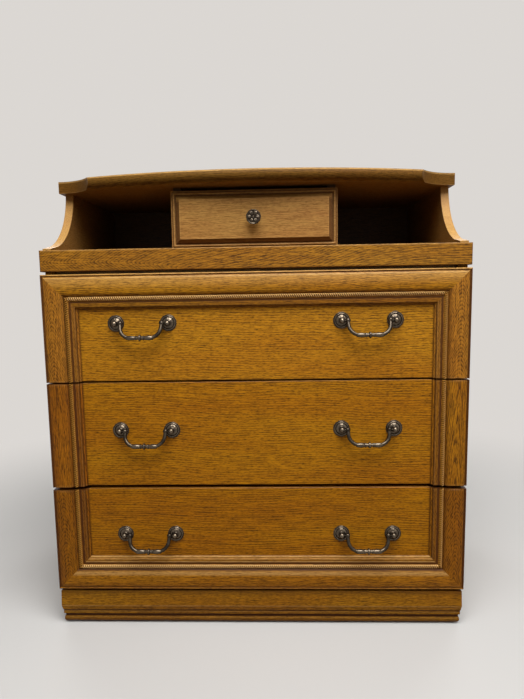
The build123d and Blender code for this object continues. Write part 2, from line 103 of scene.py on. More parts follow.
class ChestColours(bpy.types.PropertyGroup):
    """Colours of the chest's finishes."""

    oak_light: colour_setting("Oak", "Light wood between the pores", (0.5, 0.213, 0.007))
    oak_dark: colour_setting("Oak pores", "Dark early wood and pores", (0.105, 0.037, 0.001))
    grey_light: colour_setting(
        "Bleached oak", "Light wood of the gallery and its drawer", (0.38, 0.2, 0.05))
    grey_dark: colour_setting(
        "Bleached oak pores", "Pores of the gallery wood", (0.19, 0.083, 0.014))
    shelf_light: colour_setting(
        "Shelf oak", "Darker stained wood of the top shelf", (0.15, 0.069, 0.011))
    shelf_dark: colour_setting("Shelf oak pores", "Pores of the top shelf", (0.06, 0.025, 0.003))
    # The dark inner boards paint the shade inside the gallery's pigeonholes
    inside_light: colour_setting(
        "Inner stain", "Dark stain on the boards inside the gallery", (0.075, 0.034, 0.006))
    inside_dark: colour_setting(
        "Inner pores", "Pores of the boards inside the gallery", (0.03, 0.012, 0.002))
    # Worn edge also colours the painted highlights on lit arrises and on the rope crowns
    worn: colour_setting("Worn edge", "Wood rubbed light along its edges", (0.56, 0.33, 0.11))
    # Glaze also paints the shade in quirks, grooves, gaps and recesses
    glaze: colour_setting("Glaze", "Dark stain left in quirks and grooves", (0.05, 0.0135, 0.0012))
    pale_light: colour_setting("Softwood", "Unstained wood of the drawer boxes", (0.56, 0.38, 0.19))
    pale_dark: colour_setting(
        "Softwood late rings", "Darker rings of the unstained wood", (0.4, 0.22, 0.085))
    ply_light: colour_setting("Plywood", "Face of the thin boards", (0.46, 0.29, 0.135))
    ply_dark: colour_setting("Plywood figure", "Figure of the thin boards", (0.33, 0.18, 0.07))
    bronze_dark: colour_setting(
        "Bronze patina", "Darkened metal in the hollows", (0.032, 0.025, 0.018))
    bronze_worn: colour_setting("Worn bronze", "Rubbed metal on high places", (0.3, 0.235, 0.165))
    steel_dark: colour_setting("Steel marks", "Fine marks on the screws", (0.42, 0.42, 0.4))
    steel_light: colour_setting("Steel", "Plated steel of the screws", (0.62, 0.61, 0.58))
    glide_dark: colour_setting("Glide hollows", "Grain of the foot glides", (0.03, 0.018, 0.01))
    glide_light: colour_setting("Glides", "Brown plastic of the foot glides", (0.06, 0.036, 0.02))
    floor: colour_setting("Floor", "Pale floor under the chest", (0.5, 0.49, 0.475))
    floor_bounce: colour_setting(
        "Floor bounce", "Light that the floor throws back on the chest", (0.2, 0.12, 0.06))
    backdrop: colour_setting("Backdrop", "Pale surroundings far from the chest", (0.71, 0.68, 0.65))
    sky: colour_setting("Sky", "Soft light from all round", (1, 0.985, 0.96))


class ChestSizes(bpy.types.PropertyGroup):
    """Sizes of the carved pieces and of the grain, and the strength of the light."""

    rope_pitch: length_setting("Rope pitch", "Distance from strand to strand", 4, 2, 12)
    rope_width: length_setting("Rope width", "Width of the rope on its seat", 7.5, 3, 20)
    post_spacing: length_setting(
        "Post spacing", "Distance between the two posts of a handle", 100, 40, 200)
    rosette_radius: length_setting("Rosette radius", "Radius of a handle's rosette", 16, 8, 30)
    rosette_leaves: IntProperty(
        name="Rosette leaves", description="Raised leaves round a rosette",
        default=12, min=6, max=24)
    knob_radius: length_setting("Knob radius", "Radius of the flower knob", 14.5, 8, 30)
    petals: IntProperty(
        name="Petals", description="Petals of the flower knob", default=6, min=4, max=10)
    ring_spacing: length_setting("Ring spacing", "Usual width of a year ring", 3.4, 1, 20)
    key_power: power_setting("Key light", "Power of the large lamp above the front", 98)
    fill_power: power_setting("Fill light", "Power of the lamp on the right", 5)
    back_power: power_setting("Back light", "Power of each lamp behind the chest", 22)
    sky: FloatProperty(
        name="Sky", description="Strength of the soft light from all round",
        default=0.13, min=0, max=2)


class ChestView(bpy.types.PropertyGroup):
    """Where the camera stands and how it is turned."""

    place: FloatVectorProperty(
        name="Camera place", description="Where the camera stands", subtype="XYZ", unit="LENGTH",
        default=(0.04574, -1.17375, 0.66416))
    pitch: angle_setting("Pitch", "How far the camera looks down", 6.5418)
    yaw: angle_setting("Yaw", "How far the camera is turned to the left", 1.8805)
    roll: angle_setting("Roll", "How far the camera is tipped over", -0.9485)
    lens: FloatProperty(
        name="Lens", description="Focal length on a 36 mm frame", unit="CAMERA",
        default=27.04, min=10, max=200)


# Shader values written as expressions

class Value:
    """A shader socket; arithmetic on it adds Math nodes to its finish."""

    def __init__(self, finish, socket):
        self.finish = finish
        self.socket = socket

    def math(self, operation, *others):
        return self.finish.add("Math", {"operation": operation}, self, *others)

    def __add__(self, other):
        return self.math("ADD", other)

    __radd__ = __add__

    def __sub__(self, other):
        return self.math("SUBTRACT", other)

    def __rsub__(self, other):
        return self.finish.add("Math", {"operation": "SUBTRACT"}, other, self)

    def __mul__(self, other):
        return self.math("MULTIPLY", other)

    __rmul__ = __mul__

    def __truediv__(self, other):
        return self.math("DIVIDE", other)

    def __pow__(self, other):
        return self.math("POWER", other)

    def __abs__(self):
        return self.math("ABSOLUTE")

    def least(self, other):
        return self.math("MINIMUM", other)

    def most(self, other):
        return self.math("MAXIMUM", other)

    def clamped(self):
        return self.most(0).least(1)

    def ramp(self, low, high):
        """0 below low, 1 above high, with a soft change between them."""
        return self.finish.add(
            "MapRange", {"interpolation_type": "SMOOTHSTEP"}, self, low, high, 0, 1)


class Nodes:
    """A node tree under construction."""

    def __init__(self, tree):
        self.tree = tree
        tree.nodes.clear()

    def feed(self, socket, value):
        if isinstance(value, Value):
            self.tree.links.new(value.socket, socket)
        elif socket.type == "RGBA" and len(value) == 3:
            socket.default_value = (*value, 1)
        else:
            socket.default_value = value

    def add(self, kind, settings, *values, output=0, **named):
        """A node with its settings made first and then its sockets fed, in order or by name."""
        node = self.tree.nodes.new("ShaderNode" + kind)
        for key, setting in (settings or {}).items():
            setattr(node, key, setting)
        sockets = [s for s in node.inputs if s.enabled]
        for socket, value in zip(sockets, values):
            self.feed(socket, value)
        for name, value in named.items():
            self.feed(next(s for s in sockets if s.name.replace(" ", "_") == name), value)
        shown = [s for s in node.outputs if s.enabled]
        if not shown:
            return None
        if isinstance(output, int):
            return Value(self, shown[output])
        return Value(self, next(s for s in shown if s.name == output))

    def seen(self):
        """1 for rays from the camera and for what mirrors and glass show, 0 for light."""
        camera, glossy, through = (
            self.add("LightPath", None, output=f"Is {kind} Ray")
            for kind in ("Camera", "Glossy", "Transmission"))
        return (camera + glossy + through).least(1)


class Finish(Nodes):
    """A material under construction; x, y and z are the surface's place in the object's metres."""

    def __init__(self, name):
        self.material = bpy.data.materials.new(name)
        self.material.use_nodes = True
        super().__init__(self.material.node_tree)
        point = self.add("TexCoord", None, output="Object")
        self.x, self.y, self.z = (
            self.add("SeparateXYZ", None, point, output=axis) for axis in "XYZ")

    def noise(self, x, y, z, detail=2.0, roughness=0.5):
        point = self.add("CombineXYZ", None, x, y, z)
        return self.add("TexNoise", None, point, Scale=1.0, Detail=detail, Roughness=roughness)

    def speckle(self, rate, detail=2.0):
        """Noise that is alike in all directions; the rate is per metre."""
        return self.noise(self.x * rate, self.y * rate, self.z * rate, detail)

    def line_noise(self, along, detail=1.0):
        return self.add("TexNoise", {"noise_dimensions": "1D"}, W=along, Scale=1.0, Detail=detail)

    def mix(self, factor, first, second, blend="MIX"):
        return self.add(
            "Mix", {"data_type": "RGBA", "blend_type": blend}, Factor=factor, A=first, B=second)

    def bump(self, height, distance, strength):
        return self.add("Bump", None, Strength=strength, Distance=distance, Height=height)

    def shader(self, **sockets):
        return self.add("BsdfPrincipled", None, **sockets)

    def close(self, surface):
        """Gives the finished material, with its shader on the surface."""
        self.add("OutputMaterial", None, surface)
        return self.material


# Marks of glaze, painted shade, painted highlights and wear: each is a function of a place in
# millimetres

def line(centre, reach, share=1.0):
    """A mark on a line, which fades out over its reach."""
    return lambda place: (1 - abs(place - centre) / reach).most(0) * share


def hump(start, full, fade, end, share=1.0):
    """A mark that comes in from start to full and goes out from fade to end."""
    return lambda place: place.ramp(start, full) * (1 - place.ramp(fade, end)) * share


def strip(low, high, soft, share=1.0):
    """A mark from low to high, with soft ends."""
    return hump(low - soft, low + soft, high - soft, high + soft, share)


def beyond(start, full, share=1.0):
    """A mark that comes in from start to full and stays."""
    return lambda place: place.ramp(start, full) * share


def up_to(fade, end, share=1.0):
    """A mark that goes out from fade to end."""
    return lambda place: (1 - place.ramp(fade, end)) * share


def laid(place, *marks):
    """What several marks come to at a place."""
    total = marks[0](place)
    for mark in marks[1:]:
        total = total + mark(place)
    return total


# Wood. Noise rates are per metre, along and across the fibres

SWAY_RATE, DRIFT_RATE, DRIFT_START = 3.1, 2.3, 41.3  # bends of the pith line and of the rings
RIPPLE_RATES = 9, 60                                 # short waves in the rings
BEND, RIPPLE = 20 * MM, 6 * MM                       # how far bends and ripples shift a ring
RING_TURN = 0.5                                      # how fast rings turn through the thickness
PAIR_STEP, YEAR_STEP = 5.3, 3.17                     # steps of the noise between boards and years
EARLY_FADE = 1.8                                     # how fast a ring's early wood fades
YEAR_LEAST, YEAR_SPREAD = 0.4, 1.1                   # how much early wood a year has
DASH_RATE, DASH_RANGE = 600, (0.34, 0.66)            # vessel lines, as short as a board's flow says
DASH_DETAIL = {"detail": 4, "roughness": 0.65}
DASH_LATE, DASH_EARLY = 0.75, 0.5                    # their share, and what early wood adds to it
RING_SOLID, RING_DASHED = 0.45, 1.1                  # early wood's share, and what they add to it
GLINT_RATE, GLINT_RANGE = 640, (0.52, 0.7)           # bright fibres between the vessel lines
GLINT_FLOW, GLINT_START, GLINT_SHARE = 1.4, 7, 0.55
PORE_RATES, PORE_RANGE = (150, 820), (0.42, 0.68)    # single pores
SHADE_RATES, SHADE_DEPTH = (2.6, 15), 0.4            # slow changes of tone
PORE_DEPTH, PORE_BUMP = 0.12 * MM, 0.4
PORE_DULL, SHADE_DULL, GLAZE_DULL = 0.14, 0.12, 0.1  # what they add to the roughness
RUB_FULL, RUB_GRAIN = 1.15, 0.7                      # wear and painted highlights leave the dark grain behind


class Timber:
    """What sets one board's figure apart from the others'."""

    climb = 0.02     # how fast the rings run out along the board: a number or a function
    lean = 0.0       # how far the pith line slants across the board: a number or a function
    core = 12 * MM   # how blunt the flames are
    tone = 1.0       # how light the board is
    hue = (1, 1, 1)  # how its red, green and blue differ from its stock's
    rings = 0.42     # share of the early wood
    dashes = 0.4     # share of the vessel lines
    pores = 0.5      # share of the single pores
    flow = 40        # how short the vessel lines are
    wander = 1.0     # how far the bends go
    paired = False   # whether the node holds a left and a right board
    uneven = 0.0     # how much lighter the right board of a pair is painted, as light from the right

    def __init__(self, grain, pith, seed, spacing, **own):
        self.grain = grain      # axis along the fibres
        self.pith = pith        # where the pith line lies, across the fibres
        self.seed = seed        # where the board's noise starts
        self.spacing = spacing  # width of a year ring
        for key, setting in own.items():
            setattr(self, key, setting)

    def stained(self, colour):
        """A colour in this board's own tone and hue."""
        return [share * self.tone * part for share, part in zip(colour, self.hue)]


def sloped(slope, along):
    """A slope along a board, given as a number or as a function."""
    return slope(along) if callable(slope) else along * slope


def figure(finish, timber):
    """Dark share, pores and slow shade of a board whose year rings nest round its pith line."""
    x, y, z = finish.x, finish.y, finish.z
    along, wide, deep = {"x": (x, z, y), "y": (y, z, x), "z": (z, x, y)}[timber.grain]
    seed = timber.seed
    if timber.paired:
        side = x.math("SIGN")
        seed = side * PAIR_STEP + seed
        wide = abs(wide)

    def fibres(rate, across, start=0, aside=0, **detail):
        return finish.noise(along * rate + start, wide * across + aside, deep * across, **detail)

    sway = finish.line_noise(along * SWAY_RATE + seed) - 0.5
    drift = finish.line_noise(along * DRIFT_RATE + (seed + DRIFT_START)) - 0.5
    ripple = fibres(*RIPPLE_RATES, seed, detail=3) - 0.5
    bend = BEND * timber.wander
    off_pith = wide - timber.pith + sway * bend - sloped(timber.lean, along)
    flame = (off_pith * off_pith + timber.core ** 2) ** 0.5
    grown = flame + sloped(timber.climb, along) + deep * RING_TURN + drift * bend + ripple * RIPPLE
    year = grown / timber.spacing
    strength = finish.line_noise(year.math("FLOOR") * YEAR_STEP + seed)
    early = (1 - year.math("FRACT")) ** EARLY_FADE * (YEAR_LEAST + strength * YEAR_SPREAD)
    dashes = fibres(timber.flow, DASH_RATE, seed, **DASH_DETAIL).ramp(*DASH_RANGE)
    glints = fibres(timber.flow * GLINT_FLOW, GLINT_RATE, seed, GLINT_START).ramp(*GLINT_RANGE)
    pores = fibres(*PORE_RATES, aside=seed).ramp(*PORE_RANGE)
    dark = early * (RING_SOLID + dashes * RING_DASHED) * timber.rings
    dark = dark + dashes * (DASH_LATE + early * DASH_EARLY) * timber.dashes
    dark = dark + pores * timber.pores - glints * GLINT_SHARE
    shade = fibres(*SHADE_RATES, seed, detail=3)
    # painted light: the right board of a pair lighter, as light from the right
    if timber.paired:
        shade = shade + side * timber.uneven
    return dark.clamped(), pores, shade - 0.5


def wood(name, light, dark, timber, roughness, gloss, stain=None, colours=None):
    """A finished wood; stain gives glaze with painted shade, and wear with painted highlights."""
    finish = Finish(name)
    darkness, pores, shade = figure(finish, timber)
    colour = finish.mix(darkness, timber.stained(light), timber.stained(dark))
    slow = shade * SHADE_DEPTH + 1
    tint = finish.add("CombineColor", None, slow, slow * slow, slow * slow)
    colour = finish.mix(1.0, colour, tint, blend="MULTIPLY")
    rough = pores * PORE_DULL + shade * SHADE_DULL + roughness
    if stain:
        glaze_and_shade_mask, rubbed = stain(finish)
        # wear, and painted highlights on lit arrises and edges, in the worn colour
        if rubbed:
            rubbed = (rubbed.clamped() * (RUB_FULL - darkness * RUB_GRAIN)).least(1)
            colour = finish.mix(rubbed, colour, [share * timber.tone for share in colours.worn])
        # glaze, with painted shade where the mask marks recesses and gaps
        glaze_and_shade_mask = glaze_and_shade_mask.clamped()
        colour = finish.mix(glaze_and_shade_mask, colour, colours.glaze)
        rough = rough + glaze_and_shade_mask * GLAZE_DULL
    normal = finish.bump(1 - pores, PORE_DEPTH, PORE_BUMP)
    return finish.close(finish.shader(
        Base_Color=colour, Roughness=rough, Normal=normal, Specular_IOR_Level=gloss))


# Where glaze and painted shade darken the mouldings, and where wear and painted highlights lighten
# their edges. A drawer's frame has, from its outer edge: bead, quirk, band, slope, rope, groove,
# flat, quirk and ovolo

FLAT, INNER_QUIRK = (54.6, 61.4, 0.4), (61.6, 62.6, 0.4)
# Painted shade in the outer quirk
OUTER_QUIRK_SHADE = line(4, 1.7, 0.9)
# Glaze with painted shade: down the slope, beside the rope and in the groove
FRAME_GLAZE_AND_SHADE = (strip(37, 41.8, 2, 0.35), line(41.2, 1.2, 0.5), strip(50.2, 54.3, 0.6, 0.9))
# Glaze in the flats and quirks, with painted shade along the edges and towards the panel
OWN_GLAZE_AND_SHADE = {
    "stile": (strip(*FLAT, 0.3), strip(*INNER_QUIRK, 0.9), beyond(64.4, 66, 0.6)),
    "top": (OUTER_QUIRK_SHADE, strip(*FLAT, 0.45), strip(*INNER_QUIRK, 0.9),
            beyond(62.4, 63, 0.35)),
    "bottom": (OUTER_QUIRK_SHADE, up_to(2, 3.4, 0.35), strip(38.4, 41.8, 0.8, 0.5),
               line(58.2, 1.4, 0.3), strip(*INNER_QUIRK, 0.3), beyond(65, 65.8, 0.7)),
}
# Wear, and painted highlights on the lit arrises, the upper band and the edges of the flat and
# ovolo
FRAME_WEAR_AND_HIGHLIGHTS = {
    "stile": (line(55.4, 1, 0.2), line(60.4, 1.4, 0.35)),
    "top": (line(1.4, 1.8, 0.85), line(7.6, 2.4, 0.5), hump(5, 7, 10, 34, 0.35)),
    "bottom": (strip(30, 37, 3, 0.7), line(55.8, 2, 1.1), line(60.8, 1.6, 0.8), line(64, 2.2)),
}
# Painted shade on the stiles' outer edge, less on their side faces
STILE_EDGE, STILE_SIDE = up_to(3.8, 5.8), beyond(4, 9, 0.65)
STILE_EDGE_SHADE = 0.85
# Painted shade at the stiles' ends, by the gaps between drawers, and a painted highlight just
# inside them
STILE_END_SHADE, STILE_END_HIGHLIGHT = line(0, 1.8, 0.5), line(2.4, 1.4, 0.25)
# Dust and painted shade on the panels beside the frame, painted shade at their ends
PANEL_SIDE_DUST_AND_SHADE, PANEL_END_SHADE = up_to(0, 3.5, 0.55), line(0, 2.2, 0.45)
# Counter: painted shade along its foot, above the gap; darker near its ends on the front; a painted
# highlight on its top arris
COUNTER_FOOT_SHADE, COUNTER_END_DARKENING = up_to(0.5, 4, 0.45), up_to(0.5, 3, 0.5)
COUNTER_SIDE, COUNTER_ARRIS_HIGHLIGHT = beyond(1, 4, 0.8), line(1.4, 1.6, 0.5)
# Plinth: glaze in its groove and quirk, with painted shade at its foot, on its lower part and under
# the bottom rail; painted highlights on its base, bead and waist
PLINTH_GLAZE_AND_SHADE = (up_to(0, 4, 0.7), strip(13.7, 20, 0.6, 0.8), up_to(24, 30, 0.3),
                strip(26.2, 29.0, 0.6, 0.8), beyond(56, 69, 0.6))
PLINTH_HIGHLIGHTS = line(11.4, 1.8, 0.35), line(24.4, 1.6, 0.4), line(37.6, 2, 0.6)
SHELF_END_GLAZE = beyond(250, 350, 0.12)
# Painted highlight along the top edge of the shelf's nose, and painted bounce light at its foot
SHELF_NOSE_HIGHLIGHT, SHELF_FOOT_BOUNCE_LIGHT = strip(0.4, 3, 0.35, 0.55), up_to(0.2, 2, 0.2)
SIDE_ARRIS, SIDE_SOFT = 0.8, 0.5
# Gallery sides: a painted sheen on the scooped edges, faces a little darker, painted shade on the
# inner faces
SIDE_FACE_DARKER, SIDE_INSIDE_SHADE, SIDE_EDGE_SHEEN = 0.12, up_to(0.1, 0.6, 0.4), 0.22
# Gallery drawer: glaze with painted shade in the border's quirks; painted highlights on the bead
# and the field's edge
BORDER_GLAZE_AND_SHADE = strip(0, 8, 0.5, 0.25), line(3.1, 1.3, 0.85), line(9.2, 1.9, 0.95)
BORDER_HIGHLIGHTS = line(5.6, 1.8, 0.6), line(18.6, 1.3, 0.25)
# Painted shade on the field's slope, eased near the top, where the shelf casts its own shadow
FIELD_SLOPE, FIELD_SLOPE_SHADE, UNDER_SHELF = strip(10.3, 17.4, 0.6), 0.76, up_to(18, 24, 0.5)


def nearer(value, one, other):
    """Distance in millimetres to the nearer of two levels."""
    return abs(value - one).least(abs(value - other)) / MM


def framed(outer, piece):
    """Glaze with painted shade, and wear with painted highlights, of a drawer's frame, by the
    distance from its outer edge.
    """
    return laid(outer, *FRAME_GLAZE_AND_SHADE, *OWN_GLAZE_AND_SHADE[piece]), laid(outer, *FRAME_WEAR_AND_HIGHLIGHTS[piece])


# Each stain below is a function of a finish and gives its glaze with painted shade, and its wear
# with painted highlights

def stile_glaze_and_painted_light(low, high, half):
    def stain(finish):
        ends = nearer(finish.z, low.z, high.z)
        outer = (half - abs(finish.x)) / MM
        glaze_and_shade_mask, rubbed = framed(outer, "stile")
        # painted shade on the outer edge and at the ends, a painted highlight near the ends
        edge = STILE_EDGE(outer) * (STILE_EDGE_SHADE - STILE_SIDE((finish.y - low.y) / MM))
        return glaze_and_shade_mask + edge + STILE_END_SHADE(ends), rubbed + STILE_END_HIGHLIGHT(ends)
    return stain


def rail_glaze_and_painted_light(edge, piece):
    # Glaze with painted shade, and wear with painted highlights, by the distance from the rail's
    # edge
    return lambda finish: framed(abs(finish.z - edge) / MM, piece)


def panel_dust_and_shade(low, high, opening):
    def stain(finish):
        # dust and painted shade beside the frame, painted shade at the ends
        side = PANEL_SIDE_DUST_AND_SHADE((opening - abs(finish.x)) / MM)
        return side + PANEL_END_SHADE(nearer(finish.z, low.z, high.z)), None
    return stain


def counter_shade_and_highlight(low, high, half):
    def stain(finish):
        # painted shade along the foot, darker near the ends, a painted highlight on the top arris
        foot = COUNTER_FOOT_SHADE((finish.z - low.z) / MM)
        ends = COUNTER_END_DARKENING((half - abs(finish.x)) / MM)
        ends = ends * (1 - COUNTER_SIDE((finish.y - low.y) / MM))
        return foot + ends, COUNTER_ARRIS_HIGHLIGHT((high.z - finish.z) / MM)
    return stain


def plinth_glaze_and_painted_light(foot):
    def stain(finish):
        # glaze with painted shade, and painted highlights, by the height above the foot
        rise = (finish.z - foot) / MM
        return laid(rise, *PLINTH_GLAZE_AND_SHADE), laid(rise, *PLINTH_HIGHLIGHTS)
    return stain


def shelf_ends_and_painted_light(foot, top):
    def stain(finish):
        # painted highlight on the nose's top edge, painted bounce light at the foot
        nose = SHELF_NOSE_HIGHLIGHT((top - finish.z) / MM)
        return SHELF_END_GLAZE(abs(finish.x) / MM), nose + SHELF_FOOT_BOUNCE_LIGHT((finish.z - foot) / MM)
    return stain


def side_sheen_and_shade(inner, outer):
    def stain(finish):
        out = abs(finish.x) / MM
        # painted sheen on the scooped edge, painted shade on the inner face
        edge = strip(inner / MM + SIDE_ARRIS, outer / MM - SIDE_ARRIS, SIDE_SOFT)(out)
        inside = SIDE_INSIDE_SHADE(out - inner / MM)
        return (1 - edge) * SIDE_FACE_DARKER + inside, edge * SIDE_EDGE_SHEEN
    return stain


def gallery_front_glaze_and_painted_light(low, high):
    def stain(finish):
        z = finish.z
        inset = (high.x - abs(finish.x)).least(z - low.z).least(high.z - z) / MM
        # painted shade on the slope, eased under the shelf, whose own shadow falls there
        slope_shade = FIELD_SLOPE_SHADE - UNDER_SHELF((high.z - z) / MM)
        return FIELD_SLOPE(inset) * slope_shade + laid(inset, *BORDER_GLAZE_AND_SHADE), laid(inset, *BORDER_HIGHLIGHTS)
    return stain


# Modelling helpers

def deselect():
    if bpy.context.mode != "OBJECT":
        bpy.ops.object.mode_set(mode="OBJECT")
    bpy.ops.object.select_all(action="DESELECT")


def make_active(piece):
    deselect()
    piece.select_set(True)
    bpy.context.view_layer.objects.active = piece


def settled(name):
    """Names the primitive that was just added and puts its place into its mesh."""
    piece = bpy.context.object
    piece.name = piece.data.name = name
    bpy.ops.object.transform_apply(location=True, rotation=True, scale=True)
    return piece


def edit(piece, mode="FACE"):
    make_active(piece)
    bpy.ops.object.mode_set(mode="EDIT")
    bpy.ops.mesh.select_mode(type=mode)
    bpy.ops.mesh.select_all(action="SELECT")


def leave():
    bpy.ops.object.mode_set(mode="OBJECT")


def pick(piece, test, kind="faces"):
    """Selects, in edit mode, the faces or vertices whose place passes a test."""
    bpy.ops.mesh.select_all(action="DESELECT")
    shape = bmesh.from_edit_mesh(piece.data)
    for item in getattr(shape, kind):
        place = item.calc_center_median() if kind == "faces" else item.co
        item.select = bool(test(place))
    shape.select_flush_mode()
    bmesh.update_edit_mesh(piece.data)


def trim(piece, point, normal):
    """Saws off what lies beyond a plane and closes the cut."""
    edit(piece)
    bpy.ops.mesh.bisect(plane_co=point, plane_no=normal, use_fill=True, clear_outer=True)
    leave()


def apply_modifier(piece, kind, **settings):
    make_active(piece)
    modifier = piece.modifiers.new(kind.title(), kind)
    for key, setting in settings.items():
        setattr(modifier, key, setting)
    bpy.ops.object.modifier_apply(modifier=modifier.name)


def subdivide(piece):
    apply_modifier(piece, "SUBSURF", levels=1, render_levels=1)


def joined(name, pieces):
    deselect()
    for piece in pieces:
        piece.select_set(True)
    bpy.context.view_layer.objects.active = pieces[0]
    bpy.ops.object.join()
    piece = bpy.context.object
    piece.name = piece.data.name = name
    return piece


def copied(piece, move):
    """A copy with its own mesh, moved by a matrix that goes into the mesh."""
    make_active(piece)
    bpy.ops.object.duplicate()
    copy = bpy.context.object
    copy.data.transform(move)
    return copy


def outward(piece):
    edit(piece)
    bpy.ops.mesh.normals_make_consistent(inside=False)
    leave()


def smooth(piece, degrees):
    make_active(piece)
    bpy.ops.object.shade_smooth_by_angle(angle=math.radians(degrees))


def clothe(piece, material):
    piece.data.materials.clear()
    piece.data.materials.append(material)


def dress(node, material):
    """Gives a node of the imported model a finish."""
    for slot in frame["nodes"][node].material_slots:
        slot.material = material


def settle_piece(piece, material, body, node):
    """Finishes a new piece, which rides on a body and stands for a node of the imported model."""
    clothe(piece, material)
    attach(piece, body)
    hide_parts(node)


# Rope beads

ROPE_LAY = math.radians(58)  # how far the strands lean from the rope's line
ROPE_SPARE = 2               # strands past each end, to be sawn off
ROPE_CREASE = 60
STRAND_SIDES, STRAND_RINGS, STRAND_FULLNESS = 8, 6, 0.98
CORE_SIDES, CORE_WIDTH, CORE_HEIGHT = 12, 0.9, 0.45
CROWN_RANGE = 0.66, 0.92     # where a strand's crown begins, in parts of the rope's section
# Painted shade along the rope's feet
FOOT_RANGE, STRAND_FOOT_SHADE = (0.86, 1.0), 0.8
UPRIGHT_RANGE = 1.0, 1.3     # where an upright run ends, in parts of half the rope's width
# The uprights are darker, with less painted shade between their strands
UPRIGHT_DARKENING, UPRIGHT_TONE, UPRIGHT_CLEAN = 0.85, 0.6, 0.35
# How much brighter the painted highlight on a crown is than the worn edge colour
CROWN_HIGHLIGHT, ROPE_SHADE_RATE = 1.35, 14
FLECK_RATE, FLECK_RANGE, FLECK_SHARE = 420, (0.5, 0.75), 0.35
ROPE_ROUGHNESS, CROWN_POLISH, ROPE_GLOSS = 0.5, 0.1, 0.2


def rope_run(name, length, sizes, height):
    """A rope along +Z from the origin, flat at the back, its strands laid askew over a core."""
    half_width = sizes.rope_width / 2
    thickness = sizes.rope_pitch * math.sin(ROPE_LAY) / 2
    reach = half_width / math.sin(ROPE_LAY)
    spare = ROPE_SPARE * sizes.rope_pitch
    deselect()
    bpy.ops.mesh.primitive_uv_sphere_add(
        segments=STRAND_SIDES, ring_count=STRAND_RINGS, radius=1,
        scale=(thickness * STRAND_FULLNESS, height, reach), rotation=(0, ROPE_LAY, 0))
    strands = settled(name)
    trim(strands, (0, 0, 0), (0, 1, 0))
    apply_modifier(
        strands, "ARRAY", count=math.ceil(length / sizes.rope_pitch) + 2 * ROPE_SPARE,
        use_relative_offset=False, use_constant_offset=True,
        constant_offset_displace=(0, 0, sizes.rope_pitch))
    strands.data.transform(Matrix.Translation((0, 0, -spare)))
    deselect()
    bpy.ops.mesh.primitive_cylinder_add(
        vertices=CORE_SIDES, radius=1, depth=length + 2 * spare, location=(0, 0, length / 2),
        scale=(half_width * CORE_WIDTH, height * CORE_HEIGHT, 1))
    core = settled(name + "_core")
    trim(core, (0, 0, 0), (0, 1, 0))
    return joined(name, [strands, core])


def drawer_rope(drawer, sizes):
    """Ropes of a drawer: two uprights and, where its frame has a rail, a level run, mitred."""
    low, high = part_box(f"{drawer}_rope_beads")
    height = high.y - low.y
    centre = -low.x - sizes.rope_width / 2
    rail = RAIL_SIDE[drawer]
    runs = []
    for side in (-1, 1):
        run = rope_run(f"{drawer}_rope_{side}", high.z - low.z, sizes, height)
        run.data.transform(Matrix.Translation((side * centre, high.y, low.z)))
        for end, up in ((high.z, 1), (low.z, -1)):
            corner = (side * -low.x, 0, end)
            trim(run, corner, (-side, 0, up) if up == rail else (0, 0, up))
        runs.append(run)
    if rail:
        level = high.z if rail > 0 else low.z
        run = rope_run(f"{drawer}_rope_level", 2 * -low.x, sizes, height)
        place = Matrix.Translation((low.x, high.y, level - rail * sizes.rope_width / 2))
        run.data.transform(place @ Matrix.Rotation(QUARTER_TURN, 4, "Y"))
        for side in (-1, 1):
            trim(run, (side * -low.x, 0, level), (side, 0, -rail))
        runs.append(run)
    return joined(f"{drawer}_rope", runs)


def rope_finish(drawer, colours, rope_width):
    """Oak with painted highlights on the crowns of the strands and painted shade between them and
    at their feet; darker on the uprights.
    """
    low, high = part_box(f"{drawer}_rope_beads")
    rail = RAIL_SIDE[drawer]
    finish = Finish(f"{drawer}_rope_oak")
    half_width = rope_width / 2
    off = abs(abs(finish.x) - (high.x - half_width))
    upright = 1 - (off / half_width).ramp(*UPRIGHT_RANGE)
    if rail:
        level = (high.z if rail > 0 else low.z) - rail * half_width
        off = off.least(abs(finish.z - level))
    side = off / half_width
    rise = (high.y - finish.y) / (high.y - low.y)
    # painted highlight on the crowns, painted shade between the strands and at their feet
    crown = ((side * side + rise * rise) ** 0.5).ramp(*CROWN_RANGE)
    crown = crown * (1 - side.ramp(*FOOT_RANGE) * STRAND_FOOT_SHADE)
    bright = [share * CROWN_HIGHLIGHT for share in colours.worn]
    light = finish.mix(finish.speckle(ROPE_SHADE_RATE), colours.worn, bright)
    stained = [share * UPRIGHT_TONE for share in colours.oak_light]
    light = finish.mix(upright * UPRIGHT_DARKENING, light, stained)
    fleck = finish.speckle(FLECK_RATE).ramp(*FLECK_RANGE) * FLECK_SHARE
    colour = finish.mix(fleck, light, colours.oak_dark)
    colour = finish.mix((1 - crown) * (1 - upright * UPRIGHT_CLEAN), colour, colours.glaze)
    return finish.close(finish.shader(
        Base_Color=colour, Roughness=ROPE_ROUGHNESS - crown * CROWN_POLISH,
        Specular_IOR_Level=ROPE_GLOSS))


class CHEST_OT_rope_beads(bpy.types.Operator):
    """Carve the twisted ropes of the drawer frames"""

    bl_idname = "chest.rope_beads"
    bl_label = "Rope beads"

    def execute(self, context):
        colours, sizes = context.scene.chest_colours, context.scene.chest_sizes
        for drawer in DRAWERS:
            rope = drawer_rope(drawer, sizes)
            smooth(rope, ROPE_CREASE)
            material = rope_finish(drawer, colours, sizes.rope_width)
            settle_piece(rope, material, f"{drawer}_drawer", f"{drawer}_rope_beads")
        return {"FINISHED"}


# Bronze

